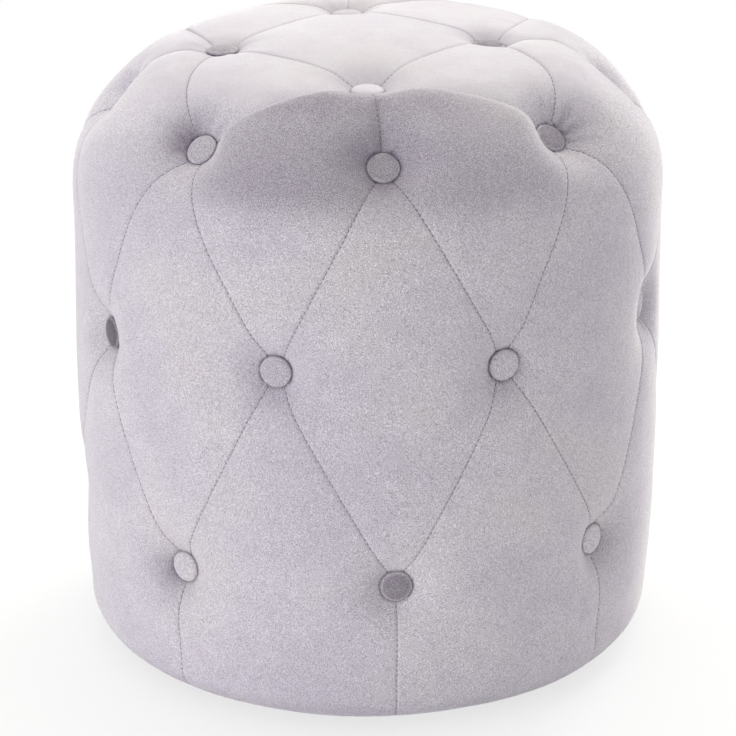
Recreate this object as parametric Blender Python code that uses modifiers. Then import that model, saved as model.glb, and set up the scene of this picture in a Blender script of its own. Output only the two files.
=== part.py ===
"""Round button-tufted ottoman: timber frame, foam, sewn velvet cover, covered buttons and nylon glides.

Metres, +Z up. The origin is on the floor under the centre, and the front column of buttons faces -Y.
Angles run from -Y towards +X. Arc lengths run down the cover's profile from the centre of the crown.
"""

import math

import bmesh
import bpy
import numpy as np
from mathutils import Matrix, Vector
from mathutils.bvhtree import BVHTree

# Cover, over the crests of its puffed panels
BODY_RADIUS = 0.210
BODY_HEIGHT = 0.445
SHOULDER_WIDTH = 0.092
SHOULDER_HEIGHT = 0.1006
CROWN_RISE = 0.006
HEM_FILLET_RADIUS = 0.026
HEM_LAP = 0.021
COVER_THICKNESS = 0.0022

# Tufting: where each ring of buttons is pulled in, and how deep
CROWN_RING_RADIUS = 0.0945
CROWN_TUFT_DEPTH = 0.0070
FRONT_CROWN_TUFT_DEPTH = 0.0125
SHOULDER_RING_ANGLE = math.radians(48)
SHOULDER_TUFT_DEPTH = 0.028
WAIST_RING_HEIGHT = 0.267
WAIST_TUFT_DEPTH = 0.017
SKIRT_RING_HEIGHT = 0.113
SKIRT_TUFT_DEPTH = 0.017
CROWN_RING_COUNT = 4
SIDE_RING_COUNT = 8
CROWN_SEAM_DEPTH = 0.004
SIDE_SEAM_DEPTH = 0.006
SEAM_REACH = 0.015
TUFT_REACH = 0.024
HEM_FADE = 0.055

# Hand-tied drift of the rings, and of the four single buttons that sit out of line
CROWN_RING_SHIFT = -0.008
SHOULDER_RING_TURN = math.radians(-1.2)
SKIRT_RING_TURN = math.radians(0.9)
HIGH_SHOULDER_BUTTON = 1
HIGH_SHOULDER_RISE = 0.0055
LOW_WAIST_BUTTON = 6
LOW_WAIST_DROP = 0.010
LOW_SKIRT_BUTTON = 7
LOW_SKIRT_DROP = 0.0065
TURNED_SKIRT_BUTTON = 1
TURNED_SKIRT_TURN = math.radians(1.6)

# Covered button, its twine and its knot
BUTTON_RADIUS = 0.011
BUTTON_RIM_HEIGHT = 0.0016
BUTTON_DOME_HEIGHT = 0.0046
TWINE_RADIUS = 0.001
TWINE_HOLE_RADIUS = 0.0021
KNOT_RADIUS = 0.0035
COVER_HOLE_SHARE = 0.55

# Foam and frame
SIDE_FOAM_THICKNESS = 0.048
TOP_FOAM_THICKNESS = 0.066
WALL_THICKNESS = 0.003
WALL_JOINT_GAP = 0.001
WALL_JOINT_POST = 2
TOP_BOARD_THICKNESS = 0.015
BASE_RING_THICKNESS = 0.012
BASE_RING_WIDTH = 0.054
POST_WIDTH = 0.030
POST_DEPTH = 0.030
POST_EDGE_RADIUS = 0.0015
POST_COUNT = 4

# Countersunk wood screws through both boards into the posts
SCREW_LENGTH = 0.040
SCREW_RADIUS = 0.0018
SCREW_HEAD_RADIUS = 0.0038
SCREW_HEAD_HEIGHT = 0.0026
SCREW_POINT_LENGTH = 0.006

# Underside
DUST_COVER_LAP = 0.028
DUST_COVER_THICKNESS = 0.0008
GLIDE_RADIUS = 0.011
GLIDE_SOLE_RADIUS = 0.008
GLIDE_CHAMFER = 0.002
GLIDE_HEIGHT = 0.006
GLIDE_PIN_RADIUS = 0.0016
GLIDE_PIN_LENGTH = 0.013
GLIDE_COUNT = 4
GLIDE_TURN = math.radians(45)

# Fits and cutting
CLEARANCE = 0.0003
CUT_OVERRUN = 0.02
WELD_DISTANCE = 0.00001

# Facets
PROFILE_STEPS = 48
SEAM_STEPS = 10
PANEL_STEPS = 4
PANEL_EDGE_SHARE = 0.16
SKIRT_STEPS = 1
FILLET_STEPS = 2
BUTTON_STEPS = 12
BORE_SIDES = 6
BOARD_SIDES = 48
GLIDE_STEPS = 16
SCREW_STEPS = 8
DOME_SHARES = ((0.0, 1.0), (0.52, 0.86), (0.86, 0.5))
RIM_SAMPLES = 48
TURNED_SHADE_ANGLE = math.radians(35)
PANEL_LAYER = "panel"

# Sizes that follow from the ones above
COVER_HOLE_REACH = BUTTON_RADIUS * COVER_HOLE_SHARE
DUST_COVER_BOTTOM = GLIDE_HEIGHT + CLEARANCE
HEM_BOTTOM = DUST_COVER_BOTTOM + DUST_COVER_THICKNESS + CLEARANCE
FRAME_BOTTOM = HEM_BOTTOM + COVER_THICKNESS + CLEARANCE
BASE_RING_TOP = FRAME_BOTTOM + BASE_RING_THICKNESS
FRAME_TOP = BODY_HEIGHT - TOP_FOAM_THICKNESS
TOP_BOARD_BOTTOM = FRAME_TOP - TOP_BOARD_THICKNESS
WALL_OUTER_RADIUS = BODY_RADIUS - SIDE_FOAM_THICKNESS
WALL_INNER_RADIUS = WALL_OUTER_RADIUS - WALL_THICKNESS
BOARD_RADIUS = WALL_INNER_RADIUS - CLEARANCE
POST_FACE_RADIUS = math.sqrt((BOARD_RADIUS - CLEARANCE) ** 2 - (POST_WIDTH / 2) ** 2)
POST_RING_RADIUS = POST_FACE_RADIUS - POST_DEPTH / 2
WAIST_RING_TURN = math.pi / SIDE_RING_COUNT
POST_TURN = (SKIRT_RING_TURN + WAIST_RING_TURN) / 2
BASE_RING_OPENING_RADIUS = BOARD_RADIUS - BASE_RING_WIDTH
HEM_OPENING_RADIUS = BOARD_RADIUS - HEM_LAP
DUST_COVER_RADIUS = HEM_OPENING_RADIUS + DUST_COVER_LAP
GLIDE_RING_RADIUS = (BASE_RING_OPENING_RADIUS + HEM_OPENING_RADIUS) / 2

COLOURS = {
    "velvet": ((0.66, 0.62, 0.67), 0.85, 0.0),
    "foam": ((0.86, 0.80, 0.58), 0.95, 0.0),
    "plywood": ((0.72, 0.55, 0.36), 0.7, 0.0),
    "pine": ((0.80, 0.64, 0.42), 0.7, 0.0),
    "hardboard": ((0.36, 0.24, 0.15), 0.75, 0.0),
    "nonwoven": ((0.03, 0.03, 0.035), 0.95, 0.0),
    "nylon": ((0.05, 0.05, 0.05), 0.45, 0.0),
    "zinc": ((0.70, 0.70, 0.68), 0.35, 1.0),
}


def clear_scene():
    for obj in list(bpy.data.objects):
        bpy.data.objects.remove(obj)


def make_collections():
    parts = bpy.data.collections.new("ottoman")
    cutters = bpy.data.collections.new("ottoman_cutters")
    for collection in (parts, cutters):
        bpy.context.scene.collection.children.link(collection)
    return parts, cutters


def make_materials():
    made = {}
    for name, (colour, roughness, metallic) in COLOURS.items():
        material = bpy.data.materials.new(name)
        material.use_nodes = True
        shader = material.node_tree.nodes["Principled BSDF"]
        shader.inputs["Base Color"].default_value = (*colour, 1.0)
        shader.inputs["Roughness"].default_value = roughness
        shader.inputs["Metallic"].default_value = metallic
        made[name] = material
    return made


# Object helpers


def add_object(name, mesh, collection, material=None):
    obj = bpy.data.objects.new(name, mesh)
    collection.objects.link(obj)
    if material:
        obj.data.materials.append(material)
    return obj


def mesh_from(name, bm):
    mesh = bpy.data.meshes.new(name)
    bm.to_mesh(mesh)
    bm.free()
    return mesh


def as_cutter(obj):
    obj.hide_render = True
    obj.display_type = "WIRE"
    return obj


def cut(obj, cutter):
    modifier = obj.modifiers.new("cut_" + cutter.name, "BOOLEAN")
    modifier.operation = "DIFFERENCE"
    modifier.solver = "EXACT"
    modifier.object = cutter


def shade_round(mesh, angle):
    mesh.shade_smooth()
    mesh.set_sharp_from_angle(angle=angle)


def turned_mesh(name, profile, steps):
    """A closed solid turned about Z from (radius, height) points, listed from top to bottom."""
    bm = bmesh.new()
    line = [bm.verts.new((radius, 0, height)) for radius, height in profile]
    for upper, lower in zip(line, line[1:]):
        bm.edges.new((upper, lower))
    mesh = mesh_from(name, bm)
    maker = bpy.data.objects.new(name, mesh)
    bpy.context.scene.collection.objects.link(maker)
    screw = maker.modifiers.new("turn", "SCREW")
    screw.steps = screw.render_steps = steps
    screw.use_merge_vertices = True
    screw.merge_threshold = WELD_DISTANCE
    graph = bpy.context.evaluated_depsgraph_get()
    solid = bpy.data.meshes.new_from_object(maker.evaluated_get(graph))
    solid.name = name
    bpy.data.objects.remove(maker)
    shade_round(solid, TURNED_SHADE_ANGLE)
    return solid


def add_disc(name, collection, radius, bottom, thickness, material=None, sides=BOARD_SIDES):
    bm = bmesh.new()
    bmesh.ops.create_cone(
        bm, cap_ends=True, segments=sides, radius1=radius, radius2=radius, depth=thickness
    )
    obj = add_object(name, mesh_from(name, bm), collection, material)
    obj.location.z = bottom + thickness / 2
    return obj


def ring_direction(angle):
    return Vector((math.sin(angle), -math.cos(angle), 0))


# Profile of the cover


def profile_table():
    """Radii and heights down the cover, from the centre of the crown to the edge of the hem."""
    flat_radius = BODY_RADIUS - SHOULDER_WIDTH
    shoulder_top = BODY_HEIGHT - CROWN_RISE
    turn = np.linspace(0, math.pi / 2, PROFILE_STEPS)
    share = np.linspace(0, 1, PROFILE_STEPS)
    crown = (share * flat_radius, BODY_HEIGHT - CROWN_RISE * (1 - np.cos(math.pi * share)) / 2)
    shoulder = (
        flat_radius + SHOULDER_WIDTH * np.sin(turn),
        shoulder_top - SHOULDER_HEIGHT * (1 - np.cos(turn)),
    )
    wall_top = shoulder_top - SHOULDER_HEIGHT
    wall_bottom = HEM_BOTTOM + HEM_FILLET_RADIUS
    wall = (np.full(PROFILE_STEPS, BODY_RADIUS), wall_top + (wall_bottom - wall_top) * share)
    fillet = (
        BODY_RADIUS - HEM_FILLET_RADIUS * (1 - np.cos(turn)),
        wall_bottom - HEM_FILLET_RADIUS * np.sin(turn),
    )
    fillet_end = BODY_RADIUS - HEM_FILLET_RADIUS
    hem = (
        fillet_end + (HEM_OPENING_RADIUS - fillet_end) * share,
        np.full(PROFILE_STEPS, HEM_BOTTOM),
    )
    sections = (crown, shoulder, wall, fillet, hem)
    radii = np.concatenate([section[0][1:] if i else section[0] for i, section in enumerate(sections)])
    heights = np.concatenate([section[1][1:] if i else section[1] for i, section in enumerate(sections)])
    return radii, heights


class Profile:
    """The cover's profile by arc length, with its outward normal."""

    def __init__(self):
        self.radii, self.heights = profile_table()
        steps = np.hypot(np.diff(self.radii), np.diff(self.heights))
        self.arcs = np.concatenate([[0], np.cumsum(steps)])
        self.radial = -np.gradient(self.heights, self.arcs)
        self.axial = np.gradient(self.radii, self.arcs)
        self.length = float(self.arcs[-1])

    def at(self, arc):
        """Radius, height and the normal's radial and upward parts."""
        columns = (self.radii, self.heights, self.radial, self.axial)
        radius, height, radial, axial = (float(np.interp(arc, self.arcs, c)) for c in columns)
        size = math.hypot(radial, axial)
        return radius, height, radial / size, axial / size

    def arc_at_radius(self, radius):
        """Arc length on the crown."""
        end = PROFILE_STEPS
        return float(np.interp(radius, self.radii[:end], self.arcs[:end]))

    def arc_at_height(self, height):
        """Arc length where the cover comes down to that height."""
        return float(np.interp(-height, -self.heights, self.arcs))

    def point(self, angle, arc, depth=0.0):
        radius, height, radial, axial = self.at(arc)
        outward = ring_direction(angle)
        return outward * (radius - depth * radial) + Vector((0, 0, height - depth * axial))

    def normal(self, angle, arc):
        radial, axial = self.at(arc)[2:]
        return ring_direction(angle) * radial + Vector((0, 0, axial))


# Places of the buttons, and the seams between them


def ring_angle(index, count, turn=0.0):
    return 2 * math.pi * index / count + turn


def button_places(profile):
    """Ring name to a list of (angle, arc length, tuft depth)."""
    shoulder_height = BODY_HEIGHT - CROWN_RISE - SHOULDER_HEIGHT * (1 - math.sin(SHOULDER_RING_ANGLE))
    crown_arc = profile.arc_at_radius(CROWN_RING_RADIUS)
    shoulder_arc = profile.arc_at_height(shoulder_height)
    waist_arc = profile.arc_at_height(WAIST_RING_HEIGHT)
    skirt_arc = profile.arc_at_height(SKIRT_RING_HEIGHT)
    places = {"crown": [], "shoulder": [], "waist": [], "skirt": []}
    for i in range(CROWN_RING_COUNT):
        angle = ring_angle(i, CROWN_RING_COUNT)
        shifted = to_plan((angle, crown_arc)) + np.array([CROWN_RING_SHIFT, 0])
        depth = CROWN_TUFT_DEPTH if i else FRONT_CROWN_TUFT_DEPTH
        places["crown"].append((*from_plan(shifted, angle), depth))
    for i in range(SIDE_RING_COUNT):
        shoulder_angle = ring_angle(i, SIDE_RING_COUNT, SHOULDER_RING_TURN)
        skirt_angle = ring_angle(i, SIDE_RING_COUNT, SKIRT_RING_TURN)
        waist_angle = ring_angle(i, SIDE_RING_COUNT, WAIST_RING_TURN)
        shoulder_drop = -HIGH_SHOULDER_RISE if i == HIGH_SHOULDER_BUTTON else 0.0
        waist_drop = LOW_WAIST_DROP if i == LOW_WAIST_BUTTON else 0.0
        skirt_drop = LOW_SKIRT_DROP if i == LOW_SKIRT_BUTTON else 0.0
        skirt_angle += TURNED_SKIRT_TURN if i == TURNED_SKIRT_BUTTON else 0.0
        places["shoulder"].append((shoulder_angle, shoulder_arc + shoulder_drop, SHOULDER_TUFT_DEPTH))
        places["waist"].append((waist_angle, waist_arc + waist_drop, WAIST_TUFT_DEPTH))
        places["skirt"].append((skirt_angle, skirt_arc + skirt_drop, SKIRT_TUFT_DEPTH))
    return places


def nearest_turn(angle, reference):
    """The same angle, within half a turn of the reference."""
    return angle - 2 * math.pi * round((angle - reference) / (2 * math.pi))


def to_plan(spot):
    angle, arc = spot
    return np.array([arc * math.sin(angle), -arc * math.cos(angle)])


def from_plan(point, near):
    """Back from the plan of the crown to (angle, arc)."""
    angle = math.atan2(point[0], -point[1])
    return nearest_turn(angle, near), float(np.hypot(*point))


def side_path(start, end, share):
    """Straight on the unrolled side."""
    turn = nearest_turn(end[0], start[0]) - start[0]
    return start[0] + share * turn, start[1] + share * (end[1] - start[1])


def crown_path(start, end, share):
    """Straight in the plan of the crown."""
    return from_plan((1 - share) * to_plan(start) + share * to_plan(end), start[0])


def spots_of(places, ring):
    return [place[:2] for place in places[ring]]


def seam_list(places, profile):
    """Every sewn seam as (start, end, path function, depth)."""
    crown, shoulder, waist, skirt = (
        spots_of(places, ring) for ring in ("crown", "shoulder", "waist", "skirt")
    )
    per_crown = SIDE_RING_COUNT // CROWN_RING_COUNT
    seams = []
    for i, spot in enumerate(crown):
        seams.append((spot, crown[(i + 1) % CROWN_RING_COUNT], crown_path, CROWN_SEAM_DEPTH))
        for step in range(1 - per_crown, per_crown):
            end = shoulder[(i * per_crown + step) % SIDE_RING_COUNT]
            seams.append((spot, end, crown_path, CROWN_SEAM_DEPTH))
    for i in range(SIDE_RING_COUNT):
        before = (i - 1) % SIDE_RING_COUNT
        for upper, lower in ((shoulder[i], waist[i]), (shoulder[i], waist[before])):
            seams.append((upper, lower, side_path, SIDE_SEAM_DEPTH))
        for upper, lower in ((waist[i], skirt[i]), (waist[before], skirt[i])):
            seams.append((upper, lower, side_path, SIDE_SEAM_DEPTH))
        hem_spot = (skirt[i][0], profile.length)
        seams.append((skirt[i], hem_spot, side_path, SIDE_SEAM_DEPTH))
    return seams


class Tufting:
    """How far the cover is drawn in below its crests, from the nearest seam and the nearest button."""

    def __init__(self, profile, places):
        starts, ends, depths = [], [], []
        for start, end, path, depth in seam_list(places, profile):
            line = [
                profile.point(*path(start, end, k / SEAM_STEPS)) for k in range(SEAM_STEPS + 1)
            ]
            for a, b in zip(line, line[1:]):
                starts.append(a)
                ends.append(b)
                depths.append(depth)
        self.starts = np.array(starts)
        self.runs = np.array(ends) - self.starts
        self.seam_depths = np.array(depths)
        buttons = [place for ring in places.values() for place in ring]
        self.buttons = np.array([profile.point(angle, arc) for angle, arc, depth in buttons])
        self.button_depths = np.array([depth for angle, arc, depth in buttons])

    def depth_at(self, point):
        offset = np.array(point) - self.starts
        along = np.einsum("ij,ij->i", offset, self.runs) / np.einsum("ij,ij->i", self.runs, self.runs)
        nearest = offset - np.clip(along, 0, 1)[:, None] * self.runs
        to_seams = np.linalg.norm(nearest, axis=1)
        seam = float(np.max(self.seam_depths * np.exp(-to_seams / SEAM_REACH)))
        to_buttons = np.linalg.norm(self.buttons - np.array(point), axis=1)
        closest = int(np.argmin(to_buttons))
        pull = math.exp(-((to_buttons[closest] / TUFT_REACH) ** 2))
        return seam + (float(self.button_depths[closest]) - seam) * pull


# Sewn panels of the cover


def edge_shares():
    """Shares along a panel's edge, closer together at the buttons."""
    inner = np.linspace(PANEL_EDGE_SHARE, 1 - PANEL_EDGE_SHARE, PANEL_STEPS - 1)
    return np.concatenate([[0], inner, [1]])


def coons_spots(corners, paths):
    """Spots of a four-sided panel. Corners run round it, and each path joins a corner to the next."""
    shares = edge_shares()
    base = corners[0][0]
    a, b, c, d = (np.array([nearest_turn(angle, base), arc]) for angle, arc in corners)

    def along(path, start, end, share):
        angle, arc = path(start, end, share)
        return np.array([nearest_turn(angle, base), arc])

    rows = []
    for v in shares:
        row = []
        for u in shares:
            low = along(paths[0], a, b, u)
            high = along(paths[2], d, c, u)
            left = along(paths[3], a, d, v)
            right = along(paths[1], b, c, v)
            corner_blend = (1 - u) * (1 - v) * a + u * (1 - v) * b + u * v * c + (1 - u) * v * d
            row.append((1 - v) * low + v * high + (1 - u) * left + u * right - corner_blend)
        rows.append(row)
    return rows


def crown_square_spots(corners):
    a, b, c, d = (to_plan(corner) for corner in corners)
    rows = []
    for v in edge_shares():
        row = []
        for u in edge_shares():
            point = (1 - u) * (1 - v) * a + u * (1 - v) * b + u * v * c + (1 - u) * v * d
            row.append(from_plan(point, 0.0))
        rows.append(row)
    return rows


def triangle_spots(corners, in_plan):
    """Rows of a three-sided panel, from its first corner to the edge between the other two."""
    shares = edge_shares()
    base = corners[0][0]
    if in_plan:
        a, b, c = (to_plan(corner) for corner in corners)
    else:
        a, b, c = (np.array([nearest_turn(angle, base), arc]) for angle, arc in corners)
    rows = []
    for i in range(PANEL_STEPS + 1):
        row = []
        for j in range(i + 1):
            weights = np.array([shares[PANEL_STEPS - i], shares[i - j], shares[j]])
            weights = weights / weights.sum()
            point = weights[0] * a + weights[1] * b + weights[2] * c
            row.append(from_plan(point, base) if in_plan else tuple(point))
        rows.append(row)
    return rows


def fillet_length():
    return math.pi / 2 * HEM_FILLET_RADIUS


def fade_out(value, start, end):
    """One before the start, zero after the end, and smooth between them."""
    share = min(max((end - value) / (end - start), 0.0), 1.0)
    return share * share * (3 - 2 * share)


def skirt_spots(left, right, profile):
    """Rows below two skirt buttons: down the side, round the fillet and under to the hem's edge."""
    fillet_start = profile.arc_at_height(HEM_BOTTOM + HEM_FILLET_RADIUS)
    turn = nearest_turn(right[0], left[0]) - left[0]
    rows = []
    for k in range(SKIRT_STEPS + 1):
        down = k / SKIRT_STEPS
        row = []
        for share in edge_shares():
            top = left[1] + share * (right[1] - left[1])
            row.append((left[0] + share * turn, top + down * (fillet_start - top)))
        rows.append(row)
    for k in range(FILLET_STEPS):
        arc = fillet_start + fillet_length() * (k + 1) / FILLET_STEPS
        rows.append([(left[0] + share * turn, arc) for share in edge_shares()])
    rows.append([(left[0] + share * turn, profile.length) for share in edge_shares()[::2]])
    return rows


def join_rows(bm, upper, lower):
    """Faces between two rows of vertices, taking whichever row's next vertex comes first."""
    faces = []
    i = j = 0
    while i + 1 < len(upper) or j + 1 < len(lower):
        upper_steps = (i + 1) * (len(lower) - 1)
        lower_steps = (j + 1) * (len(upper) - 1)
        if upper_steps == lower_steps and len(upper) > 1:
            faces.append(bm.faces.new((upper[i], lower[j], lower[j + 1], upper[i + 1])))
            i, j = i + 1, j + 1
        elif lower_steps < upper_steps or len(upper) == 1:
            faces.append(bm.faces.new((upper[i], lower[j], lower[j + 1])))
            j += 1
        else:
            faces.append(bm.faces.new((upper[i], lower[j], upper[i + 1])))
            i += 1
    return faces


def add_panel(bm, surface, *blocks):
    """Adds one sewn panel, made of one or more blocks of rows, and numbers its faces."""
    layer = bm.faces.layers.int.get(PANEL_LAYER) or bm.faces.layers.int.new(PANEL_LAYER)
    number = 1 + max((face[layer] for face in bm.faces), default=0)
    for rows in blocks:
        lines = [[bm.verts.new(surface(*spot)) for spot in row] for row in rows]
        for upper, lower in zip(lines, lines[1:]):
            for face in join_rows(bm, upper, lower):
                face[layer] = number


def crease_seams(bm):
    """Shades each panel smooth, with a crease where two panels are sewn together."""
    layer = bm.faces.layers.int[PANEL_LAYER]
    for face in bm.faces:
        face.smooth = True
    for edge in bm.edges:
        edge.smooth = len({face[layer] for face in edge.link_faces}) == 1


def cover_surface(profile, places, tufting):
    """The cover's outer face as an open surface, panel by panel."""
    fillet_end = profile.arc_at_height(HEM_BOTTOM + HEM_FILLET_RADIUS) + fillet_length()

    def surface(angle, arc):
        depth = tufting.depth_at(profile.point(angle, arc))
        return profile.point(angle, arc, depth * fade_out(arc, fillet_end - HEM_FADE, fillet_end))

    crown, shoulder, waist, skirt = (
        spots_of(places, ring) for ring in ("crown", "shoulder", "waist", "skirt")
    )
    per_crown = SIDE_RING_COUNT // CROWN_RING_COUNT
    side_paths = (side_path,) * 4
    bm = bmesh.new()
    add_panel(bm, surface, crown_square_spots(crown))
    for i, spot in enumerate(crown):
        ahead = crown[(i + 1) % CROWN_RING_COUNT]
        even = i * per_crown
        odd = even + 1
        after = (even + 2) % SIDE_RING_COUNT
        add_panel(bm, surface, triangle_spots((shoulder[odd], spot, ahead), in_plan=True))
        right_kite = (spot, shoulder[even], waist[even], shoulder[odd])
        left_kite = (ahead, shoulder[odd], waist[odd], shoulder[after])
        kite_paths = (crown_path, side_path, side_path, crown_path)
        add_panel(bm, surface, coons_spots(right_kite, kite_paths))
        add_panel(bm, surface, coons_spots(left_kite, kite_paths))
    for i in range(SIDE_RING_COUNT):
        before = (i - 1) % SIDE_RING_COUNT
        diamond = (shoulder[i], waist[before], skirt[i], waist[i])
        add_panel(bm, surface, coons_spots(diamond, side_paths))
        ahead = skirt[(i + 1) % SIDE_RING_COUNT]
        upper_block = triangle_spots((waist[i], skirt[i], ahead), in_plan=False)
        add_panel(bm, surface, upper_block, skirt_spots(skirt[i], ahead, profile))
    bmesh.ops.remove_doubles(bm, verts=bm.verts, dist=WELD_DISTANCE)
    bmesh.ops.recalc_face_normals(bm, faces=bm.faces)
    top = max(bm.faces, key=lambda face: face.calc_center_median().z)
    if top.normal.z < 0:
        bmesh.ops.reverse_faces(bm, faces=bm.faces)
    bm.normal_update()
    return bm


def triangulate(bm):
    bmesh.ops.triangulate(bm, faces=bm.faces, quad_method="SHORT_EDGE")
    bm.normal_update()
    return bm


def opened_surface(bm, button_points):
    """The cover's outer face with a small opening at each button for its twine."""
    tips = [min(bm.verts, key=lambda v, p=p: (v.co - p).length) for p in button_points]
    beveled = bmesh.ops.bevel(
        bm, geom=tips, affect="VERTICES", offset=COVER_HOLE_REACH, offset_type="OFFSET", segments=1
    )
    caps = [
        face
        for face in beveled["faces"]
        if any((face.calc_center_median() - p).length < COVER_HOLE_REACH for p in button_points)
    ]
    bmesh.ops.delete(bm, geom=caps, context="FACES_ONLY")
    return triangulate(bm)


def add_cover(parts, opened_bm, material):
    """The sewn velvet cover, a thin shell over the foam."""
    crease_seams(opened_bm)
    mesh = mesh_from("velvet_cover", opened_bm)
    obj = add_object("velvet_cover", mesh, parts, material)
    shell = obj.modifiers.new("thickness", "SOLIDIFY")
    shell.thickness = COVER_THICKNESS
    shell.offset = -1.0
    return obj


def foam_block(bm):
    """All the space inside the cover, as a closed mesh."""
    inset = COVER_THICKNESS + CLEARANCE
    moved = [(v, v.co - v.normal * inset) for v in bm.verts]
    for vertex, place in moved:
        vertex.co = place
    rim = [edge for edge in bm.edges if edge.is_boundary]
    bmesh.ops.holes_fill(bm, edges=rim, sides=0)
    bmesh.ops.recalc_face_normals(bm, faces=bm.faces)
    return mesh_from("foam_block", bm)


# Buttons


class ButtonPlan:
    """Where one button sits: its seat on the cover, its outward axis and the length of its twine."""

    def __init__(self, profile, cover_tree, place):
        angle, arc, depth = place
        self.axis = profile.normal(angle, arc)
        self.tip = profile.point(angle, arc, depth)
        self.seat = self.tip + self.axis * (self.clear_height(cover_tree) + CLEARANCE)
        self.twine_length = self.length_to_knot()

    def clear_height(self, cover_tree):
        """Height above the tip at which the button's rim clears the cover all round."""
        side = self.axis.orthogonal().normalized()
        across = self.axis.cross(side)
        highest = 0.0
        for k in range(RIM_SAMPLES):
            angle = 2 * math.pi * k / RIM_SAMPLES
            spread = (side * math.cos(angle) + across * math.sin(angle)) * BUTTON_RADIUS
            start = self.tip + spread + self.axis * CUT_OVERRUN
            hit = cover_tree.ray_cast(start, -self.axis)
            if hit[0] is not None:
                highest = max(highest, (hit[0] - self.tip).dot(self.axis))
        return highest

    def length_to_knot(self):
        """From the seat to the centre of the knot, which is pulled up to the inner face of the frame."""
        reach = KNOT_RADIUS + CLEARANCE
        if self.seat.z > FRAME_TOP:
            return (self.seat.z - (TOP_BOARD_BOTTOM - reach)) / self.axis.z
        radius = math.hypot(self.seat.x, self.seat.y)
        return radius - (WALL_INNER_RADIUS - reach)

    def matrix(self):
        turn = self.axis.to_track_quat("Z", "Y").to_matrix().to_4x4()
        return Matrix.Translation(self.seat) @ turn


def button_profile(twine_length):
    """Fabric-covered dome, twine and knot, from the top down, with the seat at height zero."""
    dome = [
        (BUTTON_RADIUS * across, BUTTON_RIM_HEIGHT + (BUTTON_DOME_HEIGHT - BUTTON_RIM_HEIGHT) * up)
        for across, up in DOME_SHARES
    ]
    rim_edge = BUTTON_RADIUS - BUTTON_RIM_HEIGHT / 2
    knot_neck = twine_length - math.sqrt(KNOT_RADIUS**2 - TWINE_RADIUS**2)
    return [
        *dome,
        (BUTTON_RADIUS, BUTTON_RIM_HEIGHT),
        (rim_edge, 0),
        (TWINE_RADIUS, 0),
        (TWINE_RADIUS, -knot_neck),
        (KNOT_RADIUS, -twine_length),
        (0, -twine_length - KNOT_RADIUS),
    ]


def add_buttons(parts, plans, material):
    for ring, ring_plans in plans.items():
        for i, plan in enumerate(ring_plans):
            name = f"{ring}_button_{i + 1}"
            mesh = turned_mesh(name, button_profile(plan.twine_length), BUTTON_STEPS)
            obj = add_object(name, mesh, parts, material)
            obj.matrix_world = plan.matrix()


def twine_bores(cutters, plans):
    """One cutter for the twine holes through the foam, the wall and the top board."""
    bm = bmesh.new()
    for plan in [plan for ring_plans in plans.values() for plan in ring_plans]:
        above = KNOT_RADIUS
        length = plan.twine_length + above
        middle = Matrix.Translation((0, 0, above - length / 2))
        bmesh.ops.create_cone(
            bm,
            cap_ends=True,
            segments=BORE_SIDES,
            radius1=TWINE_HOLE_RADIUS,
            radius2=TWINE_HOLE_RADIUS,
            depth=length,
            matrix=plan.matrix() @ middle,
        )
    return as_cutter(add_object("twine_bores", mesh_from("twine_bores", bm), cutters))


# Foam


def add_foam(parts, cutters, block, bores, material):
    reach = 2 * BODY_RADIUS
    below = FRAME_TOP + CLEARANCE + CUT_OVERRUN
    lower = add_disc("below_top_foam", cutters, reach, -CUT_OVERRUN, below, sides=BORE_SIDES)
    top_foam = add_object("top_foam", block.copy(), parts, material)
    cut(top_foam, as_cutter(lower))
    cut(top_foam, bores)

    side_top = FRAME_TOP - CLEARANCE
    upper = add_disc("above_side_foam", cutters, reach, side_top, BODY_HEIGHT, sides=BORE_SIDES)
    core_radius = WALL_OUTER_RADIUS + CLEARANCE
    core = add_disc("frame_space", cutters, core_radius, -CUT_OVERRUN, BODY_HEIGHT)
    side_foam = add_object("side_foam", block, parts, material)
    cut(side_foam, as_cutter(core))
    cut(side_foam, as_cutter(upper))
    cut(side_foam, bores)


# Frame


def post_places():
    for i in range(POST_COUNT):
        angle = ring_angle(i, POST_COUNT, POST_TURN)
        yield i, angle, ring_direction(angle) * POST_RING_RADIUS


def screw_profile(clearance=0.0):
    head = SCREW_HEAD_RADIUS + clearance
    shank = SCREW_RADIUS + clearance
    length = SCREW_LENGTH + clearance
    return [
        (0, 0),
        (head, 0),
        (shank, -SCREW_HEAD_HEIGHT),
        (shank, -length + SCREW_POINT_LENGTH),
        (0, -length),
    ]


def open_screw_profile():
    """The screw with its clearance, run out past its head so that the cut opens the board's face."""
    head = SCREW_HEAD_RADIUS + CLEARANCE
    return [(0, CUT_OVERRUN), (head, CUT_OVERRUN), *screw_profile(CLEARANCE)[1:]]


def screw_matrices():
    """Node name to matrix. Heads lie just under the boards' outer faces."""
    turned_over = Matrix.Rotation(math.pi, 4, "X")
    placed = {}
    for i, _, spot in post_places():
        up = Matrix.Translation(spot + Vector((0, 0, FRAME_TOP - CLEARANCE)))
        down = Matrix.Translation(spot + Vector((0, 0, FRAME_BOTTOM + CLEARANCE)))
        placed[f"top_screw_{i + 1}"] = up
        placed[f"base_screw_{i + 1}"] = down @ turned_over
    return placed


def add_screws(parts, cutters, material):
    placed = screw_matrices()
    mesh = turned_mesh("screw", screw_profile(), SCREW_STEPS)
    mesh.materials.append(material)
    for name, matrix in placed.items():
        add_object(name, mesh, parts).matrix_world = matrix
    bm = bmesh.new()
    cutter_mesh = turned_mesh("screw_space", open_screw_profile(), SCREW_STEPS)
    for matrix in placed.values():
        copy = cutter_mesh.copy()
        copy.transform(matrix)
        bm.from_mesh(copy)
    return as_cutter(add_object("screw_holes", mesh_from("screw_holes", bm), cutters))


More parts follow.
